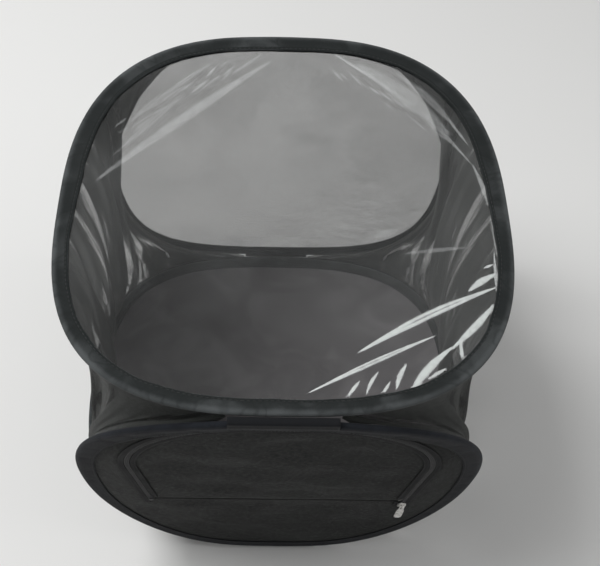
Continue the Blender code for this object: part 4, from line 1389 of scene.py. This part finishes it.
@dataclass
class SideNet:
    """A gathered side: net drawn between all four hoops, falling in upright folds."""

    finishes: Finishes
    columns: int = 181
    rows: int = 55
    step: int = 3
    corner: float = 0.0412
    corner_inset: float = 0.0012
    edge_inset: float = 0.0014
    folds: int = 9
    fold_height: float = 0.0055
    fine_height: float = 0.028
    gap: float = 0.0003
    mid_column: int = 90
    mid_row: int = 30

    def edge(self, name: str, start: np.ndarray, stop: np.ndarray) -> np.ndarray:
        """Line down a hoop's right side, from seam to seam."""
        hoop = HOOPS[name]
        lift = -(SIZES.edge_half + self.gap + SIZES.net_thickness)
        flat = hoop.outline(SIZES.edge_half + self.edge_inset)
        flat = flat[flat[:, 0] > self.corner]
        flat = flat[np.argsort(flat[:, 1])]
        return np.concatenate([[start], hoop.point(flat[:, 0], flat[:, 1], lift), [stop]])

    def grid(self) -> np.ndarray:
        """Points of the right side."""
        corners = {}
        for top in (False, True):
            for back in (False, True):
                level = -REAR if back else REAR
                upright = -SIZES.up_side if top else SIZES.up_side
                corners[top, back] = (
                    SIZES.seam(top, back)
                    + RIGHT * self.corner
                    + (level + upright) * self.corner_inset
                )
        ends = (
            ("floor", (False, False), (False, True), self.columns),
            ("top", (True, False), (True, True), self.columns),
            ("front", (False, False), (True, False), self.rows),
            ("back", (False, True), (True, True), self.rows),
        )
        edges = [
            spaced(self.edge(name, corners[start], corners[stop]), count)
            for name, start, stop, count in ends
        ]
        coarse = drawn_tight(filled(*(edge[:: self.step] for edge in edges)))
        columns, rows = (finer(count, self.step) for count in coarse.shape[:2])
        base = np.einsum("ai,bk,ikc->abc", columns, rows, coarse)
        drawn = (base[:, 0], base[:, -1], base[0], base[-1])
        base = base + filled(*(edge - near for edge, near in zip(edges, drawn)))
        square = unit(np.cross(np.gradient(base, axis=0), np.gradient(base, axis=1)))
        across = np.linspace(0, 1, self.columns)[:, None]
        height = np.linspace(0, 1, self.rows)[None, :]
        hold = np.sin(math.pi * across) ** 0.8 * np.sin(math.pi * height) ** 0.8
        wave = np.sin(math.tau * self.folds * across) * self.fold_height
        rng = np.random.default_rng(11)
        fine = np.zeros_like(across * height)
        for count in (13, 21, 29, 41):
            lean, phase = rng.uniform(-0.6, 0.6), rng.uniform(0, 6.28)
            fine = fine + np.sin(math.tau * (count * across + lean * height) + phase) / count
        return base + square * (hold * (wave + fine * self.fine_height))[..., None]

    def build(self) -> list[bpy.types.Object]:
        """Make both sides."""
        right = self.grid()
        made = []
        for side, name in ((1, "right"), (-1, "left")):
            points = right * (side, 1, 1)
            along, up = run_along(points[:, self.mid_row]), run_along(points[self.mid_column])
            chart, finish = chart_of(along, up), self.finishes.side_net
            piece = skin(f"side_net_{name}", points, chart, (False, False), finish)
            thicken(piece, SIZES.net_thickness)
            finish_piece(piece, Body.FLOOR, Slot.MESH, f"side_mesh_{name}")
            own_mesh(piece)
            made.append(piece)
        return made


@dataclass
class DoorPath:
    """Middle line of the zip: up the right side, over the top and down the left."""

    sill_share: float = 0.4343
    top_margin: float = 0.0321
    side_margin: float = 0.0605
    corner_share: float = 0.885
    flare: float = math.radians(4.4)
    hinge_gap: float = 0.0005
    plane_depth: float = 0.005
    tail: float = 0.0026 + 0.011 + 0.0003 + 0.0025
    end_gap: float = 0.0005
    stop_length: float = 0.0025
    door_start: float = 0.0045
    net_margin: float = 0.0039 + 0.0005 + 0.0003
    sill_count: int = 44
    tape_inner: float = 0.0023
    tape_outer: float = 0.0075
    tape_lift: float = 0.00075

    @property
    def sill(self) -> float:
        """Height of the sill, up the front from the floor seam."""
        return SIZES.span * self.sill_share

    @property
    def top(self) -> float:
        """Height of the door's top."""
        return SIZES.span - self.top_margin

    @property
    def half_width(self) -> float:
        """Half of the door's width at its sill."""
        return HOOPS["front"].half_width - self.side_margin

    @property
    def radius(self) -> float:
        """Radius of the door's top corners."""
        return self.half_width * self.corner_share

    @property
    def arc_height(self) -> float:
        """Height of the middle of the corners."""
        return self.top - self.radius

    @property
    def arc_x(self) -> float:
        """Sideways place of the middle of a corner."""
        rise = self.arc_height - self.sill
        return self.half_width + (rise * math.sin(self.flare) - self.radius) / math.cos(self.flare)

    @property
    def side(self) -> float:
        """Length of the straight side."""
        end_x = self.arc_x + self.radius * math.cos(self.flare)
        end_s = self.arc_height - self.radius * math.sin(self.flare)
        return math.hypot(end_x - self.half_width, end_s - self.sill)

    @property
    def length(self) -> float:
        """Length of the whole line, from sill to sill."""
        return 2 * (self.side + self.radius * (math.pi / 2 + self.flare) + self.arc_x)

    def at(self, run: float, offset: float = 0.0) -> tuple[float, float]:
        """Point (x, height) at a run from the right sill, offset out of the door."""
        if run > self.length / 2:
            x, height = self.at(self.length - run, offset)
            return -x, height
        sine, cosine = math.sin(self.flare), math.cos(self.flare)
        if run <= self.side:
            x = self.half_width + run * sine + offset * cosine
            return x, self.sill + run * cosine - offset * sine
        if run <= self.side + self.radius * (math.pi / 2 + self.flare):
            angle = (run - self.side) / self.radius - self.flare
            reach = self.radius + offset
            return self.arc_x + reach * math.cos(angle), self.arc_height + reach * math.sin(angle)
        return self.length / 2 - run, self.top + offset

    def line(self, start: float, stop: float, offset: float, step: float = 0.004) -> np.ndarray:
        """Points (x, height) of a line at an offset, from one run to another."""
        count = max(2, round((stop - start) / step) + 1)
        return np.array([self.at(run, offset) for run in np.linspace(start, stop, count)])

    def place(self, flat: np.ndarray, lift: object = 0.0) -> np.ndarray:
        """Places of points (x, height) on the plane of the door, or lifted off it."""
        x, s = flat[..., 0], flat[..., 1] - SIZES.span / 2
        return HOOPS["front"].flat_point(x, s, lift - self.plane_depth)

    def hole(self) -> np.ndarray:
        """Outline of the hole in the front net, round the door and its zip."""
        sill = self.sill - self.hinge_gap / 2
        foot = -self.tail - self.end_gap
        left_foot = self.length + self.end_gap * 2 + self.stop_length
        outer = self.line(foot, left_foot, self.net_margin)
        left = self.at(left_foot, -self.net_margin)
        right = self.at(foot, -self.net_margin)
        slope = math.tan(self.flare)
        left_sill = left[0] - (sill - left[1]) * slope
        right_sill = right[0] + (sill - right[1]) * slope
        base = [(x, sill) for x in np.linspace(left_sill, right_sill, self.sill_count)]
        return np.array([*outer, left, *base, right])

    def flap(self) -> np.ndarray:
        """Outline of the door's net."""
        sill = self.sill + self.hinge_gap / 2
        start = (sill - self.at(0, -self.net_margin)[1]) / math.cos(self.flare)
        outer = self.line(start, self.length - start, -self.net_margin)
        base = np.linspace(outer[-1, 0], outer[0, 0], self.sill_count)[1:-1]
        return np.array([*outer, *((x, sill) for x in base)])


def inside(points: np.ndarray, outline: np.ndarray) -> np.ndarray:
    """Whether points lie inside a closed outline."""
    x, y = points[:, 0][:, None], points[:, 1][:, None]
    a, b = outline, np.roll(outline, -1, 0)
    spans = (a[None, :, 1] > y) != (b[None, :, 1] > y)
    drop = np.where(b[:, 1] == a[:, 1], 1.0, b[:, 1] - a[:, 1])
    meet = a[None, :, 0] + (y - a[None, :, 1]) * (b[:, 0] - a[:, 0])[None] / drop[None]
    return (np.sum(spans & (x < meet), axis=1) % 2).astype(bool)


def clearance(points: np.ndarray, outline: np.ndarray) -> np.ndarray:
    """Distance of points from the nearest stretch of a closed outline."""
    a, b = outline, np.roll(outline, -1, 0)
    run = b - a
    size = np.maximum(np.sum(run * run, 1), 1e-12)
    share = np.clip(np.einsum("pkc,kc->pk", points[:, None] - a[None], run) / size, 0, 1)
    near = a[None] + share[..., None] * run[None]
    return np.linalg.norm(points[:, None] - near, axis=2).min(1)


def cut_net(
    name: str,
    rings: Sequence[np.ndarray],
    hole: Optional[np.ndarray],
    place: Callable[[np.ndarray, np.ndarray], np.ndarray],
    finish: bpy.types.Material,
    step: float = 0.0055,
    creases: Sequence[Crease] = (),
) -> bpy.types.Object:
    """Make a sheet of even triangles inside an outline.

    Args:
        name: The piece's name.
        rings: Rows (x, height, lift), the outermost first; each is kept as it is.
        hole: Outline (x, height) of a hole, or None.
        place: Turns (x, height) and lift into places.
        finish: The piece's material.
        step: Distance between the points inside the innermost ring.
        creases: Creases that the triangles follow; they are stored as "crease".

    Returns:
        The piece, a skin without a wall.
    """
    inner, level = rings[-1][:, :2], float(rings[-1][0, 2])
    low, high = inner.min(0), inner.max(0)
    row_share, clear, clear_of_creases = 0.87, step * 0.6, 0.0004
    xs = np.arange(low[0], high[0], step)
    ys = np.arange(low[1], high[1], step * row_share)
    field = np.array([(x + step / 2 * (k % 2), y) for k, y in enumerate(ys) for x in xs])
    if creases:
        shown = np.max([crease.mask(field) for crease in creases], axis=0)
        field = np.concatenate([field[shown == 0]] + [crease.points() for crease in creases])
    field = field[inside(field, inner)]
    field = field[clearance(field, inner) > (clear_of_creases if creases else clear)]
    loops = list(rings)
    if hole is not None:
        field = field[~inside(field, hole)]
        field = field[clearance(field, hole) > clear]
        loops.append(np.concatenate([hole, np.full((len(hole), 1), level)], 1))
    edges, points, lifts = [], [], []
    for ring in loops:
        start = len(points)
        points += ring[:, :2].tolist()
        lifts += ring[:, 2].tolist()
        edges += [(start + i, start + (i + 1) % len(ring)) for i in range(len(ring))]
    points += field.tolist()
    lifts += [level] * len(field)
    found, _, faces, origin, _, _ = geometry.delaunay_2d_cdt(
        [Vector(p) for p in points], edges, [], 0, 1e-6
    )
    flat = np.array([tuple(p) for p in found])
    middles = np.array([flat[list(face)].mean(0) for face in faces])
    keep = inside(middles, rings[0][:, :2])
    if hole is not None:
        keep &= ~inside(middles, hole)
    lift = np.array([lifts[kin[0]] if kin else lifts[-1] for kin in origin])
    data = bpy.data.meshes.new(name)
    kept = [face for face, wanted in zip(faces, keep) if wanted]
    data.from_pydata(place(flat, lift).tolist(), [], kept)
    layer = data.uv_layers.new(name="cloth")
    layer.data.foreach_set("uv", flat[np.concatenate(kept)].astype(np.float32).ravel())
    if creases:
        store = data.attributes.new("crease", "FLOAT", "POINT")
        shown = np.max([crease.mask(flat) for crease in creases], axis=0)
        store.data.foreach_set("value", shown.astype(np.float32))
    with edited(data) as work:
        loose = [point for point in work.verts if not point.link_faces]
        bmesh.ops.delete(work, geom=loose, context="VERTS")
    data.materials.append(finish)
    data.shade_smooth()
    return add(name, data)


def window(finishes: Finishes) -> bpy.types.Object:
    """Make the clear film in the top hoop, creased where it is drawn over the corners."""
    hoop = HOOPS["top"]
    rows = [ring * (1, 1, 0) for ring in hoop.sheet_rings(SIZES.lip_margin)]
    hold_run, crease_height, wave_height, step = 0.02, 0.00035, 0.0003, 0.006

    def place(flat: np.ndarray, lift: np.ndarray) -> np.ndarray:
        """Set the points on the bowed film, raised a little along its creases."""
        hold = np.clip(clearance(flat, rows[1][:, :2]) / hold_run, 0, 1)
        ridge = np.max([crease.mask(flat) for crease in CREASES], axis=0) * crease_height
        wave = wave_height * np.sin(flat[:, 0] * 38 + 1) * np.sin(flat[:, 1] * 27)
        return hoop.point(flat[:, 0], flat[:, 1], hold * hold * (ridge + wave))

    piece = cut_net("window_film", rows, None, place, finishes.film, step, CREASES)
    stands_for = (hoop.body, Slot.WINDOW, "top_window")
    return hold_flat(piece, SIZES.film_thickness, stands_for)


@dataclass
class Front:
    """The front panel's net, its door and the zip round it."""

    finishes: Finishes
    stitches: Beads
    teeth: Beads
    path: DoorPath = field(default_factory=DoorPath)
    rim_margin: float = 0.002
    rim_drop: float = 0.012
    lip_margin: float = 0.002
    tape_thickness: float = 0.0005
    tape_step: float = 0.003
    stitch_inset: float = 0.0009
    tail_end: float = -0.0026
    tail_teeth_end: float = -0.0120
    tooth_pitch: float = 0.0028
    tooth_shift: float = 0.0007
    tooth_size: tuple[float, float, float] = (0.0015, 0.0034, 0.0021)
    bead_middle: float = 0.0016
    bead_size: tuple[float, float] = (0.00038, 0.0006)

    def rim(self) -> np.ndarray:
        """The ring where the panel's flat middle begins, one point for each of the hoop's."""
        hoop, path = HOOPS["front"], self.path
        reach = path.tape_outer + self.rim_margin
        drop = path.tail + self.rim_drop
        rim = path.line(-drop, path.length + drop, reach)
        rim[:, 1] -= SIZES.span / 2
        middle = np.array((0.0, (path.sill + path.top - SIZES.span) / 2))
        found = []
        for point in hoop.outline(SIZES.binding_width + self.lip_margin):
            aim = point - middle
            a, b = rim, np.roll(rim, -1, 0)
            start, edge = a - middle, b - a
            cross = aim[0] * edge[:, 1] - aim[1] * edge[:, 0]
            cross = np.where(cross == 0, 1e-12, cross)
            far = (start[:, 0] * edge[:, 1] - start[:, 1] * edge[:, 0]) / cross
            share = (start[:, 0] * aim[1] - start[:, 1] * aim[0]) / cross
            good = (far > 0) & (share >= -1e-9) & (share <= 1 + 1e-9)
            found.append(middle + aim * far[good].max())
        return np.array(found)

    def relief(self, flat: np.ndarray, outlines: Sequence[np.ndarray]) -> np.ndarray:
        """Soft waves of the net, held still along its edges."""
        near = np.min([clearance(flat, outline) for outline in outlines], axis=0)
        hold = np.clip(near / 0.03, 0, 1) ** 2
        x, y = flat[:, 0], flat[:, 1]
        return hold * (
            0.0011 * np.sin(x * 31 + 0.8) * np.sin(y * 27 + 0.4)
            + 0.0006 * np.sin(x * 83 - y * 40)
            + 0.0004 * np.sin(y * 96 + x * 21 + 2)
        )

    def net(self) -> bpy.types.Object:
        """Make the net between the hoop and the door."""
        hoop, path = HOOPS["front"], self.path
        rows = hoop.sheet_rings(self.lip_margin)
        rim = self.rim()
        last = np.concatenate([rim, np.full((len(rim), 1), -path.plane_depth)], 1)
        steps = [rows[1] * (1 - share) + last * share for share in (0.25, 0.5, 0.75)]
        hole = path.hole()
        hole[:, 1] -= SIZES.span / 2

        def place(flat: np.ndarray, lift: np.ndarray) -> np.ndarray:
            """Set the points on the front, with the net's waves."""
            wave = self.relief(flat, [hole, rows[1][:, :2]])
            return hoop.flat_point(flat[:, 0], flat[:, 1], lift + wave)

        rings = [*rows, *steps, last]
        piece = cut_net("front_net", rings, hole, place, self.finishes.front_net)
        stands_for = (Body.FRONT, Slot.MESH, "front_mesh")
        return hold_flat(piece, SIZES.net_thickness, stands_for)

    def door(self) -> bpy.types.Object:
        """Make the door's net."""
        path = self.path
        outline = path.flap()
        ring = np.concatenate([outline, np.zeros((len(outline), 1))], 1)

        def place(flat: np.ndarray, lift: np.ndarray) -> np.ndarray:
            """Set the points on the door, with the net's waves."""
            return path.place(flat, lift + self.relief(flat, [outline]))

        piece = cut_net("door_net", [ring], None, place, self.finishes.front_net)
        stands_for = (Body.DOOR, Slot.MESH, "door_mesh")
        return hold_flat(piece, SIZES.net_thickness, stands_for)

    def tape(self, name: str, start: float, stop: float, side: int, body: Body) -> None:
        """Make a woven tape beside the zip, with its two rows of stitches."""
        path = self.path
        offsets = np.linspace(path.tape_inner, path.tape_outer, 5)
        runs = np.linspace(start, stop, max(3, round((stop - start) / self.tape_step)))
        flat = np.array([[path.at(run, side * offset) for offset in offsets] for run in runs])
        puff = np.array((0.0, 0.00008, 0.00011, 0.00008, 0.0))
        points = path.place(flat, path.tape_lift + puff[None, :])
        chart, finish = chart_of(runs, offsets), self.finishes.zip_tape
        piece = skin("zip_cloth_" + name, points, chart, (False, False), finish)
        face_along(piece, SIZES.forward)
        thicken(piece, self.tape_thickness)
        finish_piece(piece, body, Slot.ZIP_TAPE, "zip_tape_" + name)
        lines = []
        for offset in (path.tape_inner + self.stitch_inset, path.tape_outer - self.stitch_inset):
            line = path.place(path.line(start + 0.001, stop - 0.001, side * offset), path.tape_lift)
            line = line + SIZES.forward * (self.tape_thickness / 2 + SIZES.stitch_lift)
            lines.append((line, np.tile(SIZES.forward, (len(line), 1))))
        made = self.stitches.along("zip_stitches_" + name, lines, ZIP_STITCH)
        finish_piece(made, body, Slot.ZIP_TAPE)

    def comb(self, name: str, start: float, stop: float, side: int, body: Body) -> None:
        """Make a row of teeth on its bead."""
        path, pitch = self.path, self.tooth_pitch
        first = math.ceil(start / pitch) * pitch + (pitch / 2 if side < 0 else 0.0)
        last = first + math.floor((stop - 0.0007 - first) / pitch) * pitch
        line = path.place(path.line(first, last, 0.0, step=0.0014), path.tape_lift)
        lift = np.tile(SIZES.forward, (len(line), 1))
        sizes = (pitch, *self.tooth_size, side * self.tooth_shift)
        row = self.teeth.along("zip_row_" + name, [(line, lift)], sizes)
        finish_piece(row, body, Slot.ZIP_TEETH, "zip_teeth_" + name)
        runs = np.linspace(start, stop, max(3, round((stop - start) / self.tape_step)))
        turns = np.linspace(0, math.tau, 9)[:-1]
        across = side * (self.bead_middle + self.bead_size[0] * np.cos(turns))
        flat = np.array([[path.at(run, reach) for reach in across] for run in runs])
        points = path.place(flat, path.tape_lift + self.bead_size[1] * np.sin(turns)[None, :])
        chart = np.zeros((len(runs), len(turns) + 1, 2))
        bead = skin("zip_bead_" + name, points, chart, (False, True), self.finishes.teeth)
        with edited(bead.data) as work:
            bmesh.ops.holes_fill(work, edges=[e for e in work.edges if e.is_boundary], sides=0)
        finish_piece(bead, body, Slot.ZIP_TEETH)

    def build(self) -> None:
        """Make the whole front."""
        path = self.path
        end, foot = path.length, -path.tail
        door = (path.door_start, end - path.door_start, -1, Body.DOOR)
        self.net()
        self.tape("frame", foot, end + path.tail, 1, Body.FRONT)
        self.tape("door", *door)
        self.tape("tail", foot, self.tail_end, -1, Body.FRONT)
        self.comb("frame", foot, end + path.end_gap, 1, Body.FRONT)
        self.comb("door", *door)
        self.comb("tail", foot, self.tail_teeth_end, -1, Body.FRONT)
        self.door()


@dataclass
class SeamTapes:
    """The four short tapes that join neighbouring hoops."""

    finishes: Finishes
    stitches: Beads
    width: float = 0.009
    thickness: float = 0.0006
    gap: float = 0.0003
    stitch_margin: float = 0.002

    def bend(
        self, axis: np.ndarray, one: np.ndarray, two: np.ndarray, reach: float
    ) -> np.ndarray:
        """Line of a tape that lines two faces meeting at an axis."""
        square_one = unit(two - one * (two @ one))
        square_two = unit(one - two * (one @ two))
        corner = (one + two) / np.linalg.norm(np.cross(one, two))
        ease = 0.0012
        return np.array(
            [
                axis + one * self.width + square_one * reach,
                axis + one * self.width * 0.55 + square_one * reach,
                axis + corner * reach + one * ease,
                axis + corner * (reach + 0.0002),
                axis + corner * reach + two * ease,
                axis + two * self.width * 0.55 + square_two * reach,
                axis + two * self.width + square_two * reach,
            ]
        )

    def wrap(
        self, axis: np.ndarray, away: np.ndarray, upright: np.ndarray, level: np.ndarray
    ) -> np.ndarray:
        """Line of a tape behind a corner, from one hoop's edge to the other."""
        reach = SIZES.seam_gap + 2 * SIZES.edge_half + self.gap + self.thickness / 2
        shelf = SIZES.edge_half + SIZES.seam_gap + self.thickness / 2
        lean = upright * (-shelf / (upright @ -level))
        return np.array(
            [
                axis + level * shelf + away * self.thickness,
                axis + level * shelf + away * reach * 0.5,
                axis + away * (reach - 0.0006) + lean,
                axis + away * reach + lean * 0.8,
                axis + away * reach,
                axis + away * reach + upright * self.width * 0.5,
                axis + away * reach + upright * self.width,
            ]
        )

    def make(
        self, node: str, line: np.ndarray, body: Body, out: np.ndarray, rows: Sequence[int]
    ) -> None:
        """Make one tape, with stitches along some of its lines."""
        xs = np.linspace(-SIZES.seam_half, SIZES.seam_half, 41)
        points = line[:, None] + xs[None, :, None] * RIGHT
        chart = chart_of(run_along(line), xs)[..., ::-1]
        piece = skin(node + "_tape", points, chart, (False, False), self.finishes.seam)
        face_along(piece, out)
        thicken(piece, self.thickness)
        finish_piece(piece, body, Slot.BINDING, node)
        half = SIZES.seam_half - self.stitch_margin
        lines = []
        for row in rows:
            way = unit(line[min(row + 1, len(line) - 1)] - line[row - 1])
            lift = unit(np.cross(way, RIGHT))
            lift = lift if lift @ out > 0 else -lift
            spot = line[row] + lift * (self.thickness / 2 + SIZES.stitch_lift)
            stitched = spot[None] + np.linspace(-half, half, 20)[:, None] * RIGHT
            lines.append((stitched, np.tile(lift, (len(stitched), 1))))
        made = self.stitches.along(node + "_stitches", lines, SEAM_STITCH)
        finish_piece(made, body, Slot.BINDING)

    def build(self) -> None:
        """Make all four tapes: two in the corners inside, two round the corners outside."""
        reach = self.gap - SIZES.seam_gap + self.thickness / 2
        up_side, ahead = SIZES.up_side, SIZES.forward
        for node, body, top, way in (
            ("floor_front_seam", Body.FLOOR, False, 1),
            ("top_back_seam", Body.TOP, True, -1),
        ):
            one, two = REAR * way, up_side * way
            line = self.bend(SIZES.seam(top, top), one, two, reach)
            self.make(node, line, body, unit(one + two), (1, 5))
        for node, body, top, way in (
            ("floor_back_seam", Body.FLOOR, False, -1),
            ("top_front_seam", Body.TOP, True, 1),
        ):
            away, level = ahead * way, UP * way
            line = self.wrap(SIZES.seam(top, not top), away, up_side * -way, level)
            self.make(node, line, body, unit(away + level * 0.1), (5,))


def main() -> None:
    """Dress the cage."""
    logging.basicConfig(level=logging.INFO, format="%(name)s: %(message)s")
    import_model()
    bpy.context.scene.view_settings.view_transform = "Standard"
    studio = Studio()
    studio.camera()
    studio.build()
    finishes = Finishes.make()
    stitches = Beads("stitches", finishes.thread, 6, 4)
    for seed, hoop in enumerate(HOOPS.values()):
        bulge = 0.0 if hoop.body is Body.FLOOR else 0.0007
        Binding(hoop, finishes, stitches, bulge=bulge, seed=seed).build()

    def still(x: np.ndarray, s: np.ndarray) -> np.ndarray:
        """A sheet pulled flat, with the faintest waves."""
        return 0.0004 * np.sin(x * 55 + 1) * np.sin(s * 38)

    Panel(
        "back_net", HOOPS["back"], finishes.net, Slot.MESH, SIZES.net_thickness, "back_mesh", still
    ).build()
    Panel(
        "floor_cloth",
        HOOPS["floor"],
        finishes.floor,
        Slot.FLOOR,
        SIZES.floor_thickness,
        "floor_sheet",
        still,
        landing=SIZES.edge_half - SIZES.floor_thickness / 2 - 0.0004,
    ).build()
    window(finishes)
    Front(finishes, stitches, Beads("teeth", finishes.teeth, 6, 4)).build()
    SeamTapes(finishes, stitches).build()
    SideNet(finishes).build()
    for hoop in HOOPS:
        dress_node(f"{hoop}_wire", finishes.wire)
        dress_node(f"{hoop}_sleeve", finishes.crimp)
    for node in ("zip_slider", "zip_pull"):
        dress_node(node, finishes.metal)
    dress_node("zip_bottom_stop", finishes.teeth)


def dress_node(name: str, finish: bpy.types.Material) -> None:
    """Give a part of the frame its finish."""
    piece = bpy.data.objects[name]
    for i in range(len(piece.material_slots)):
        piece.material_slots[i].material = finish


if __name__ == "__main__":
    main()
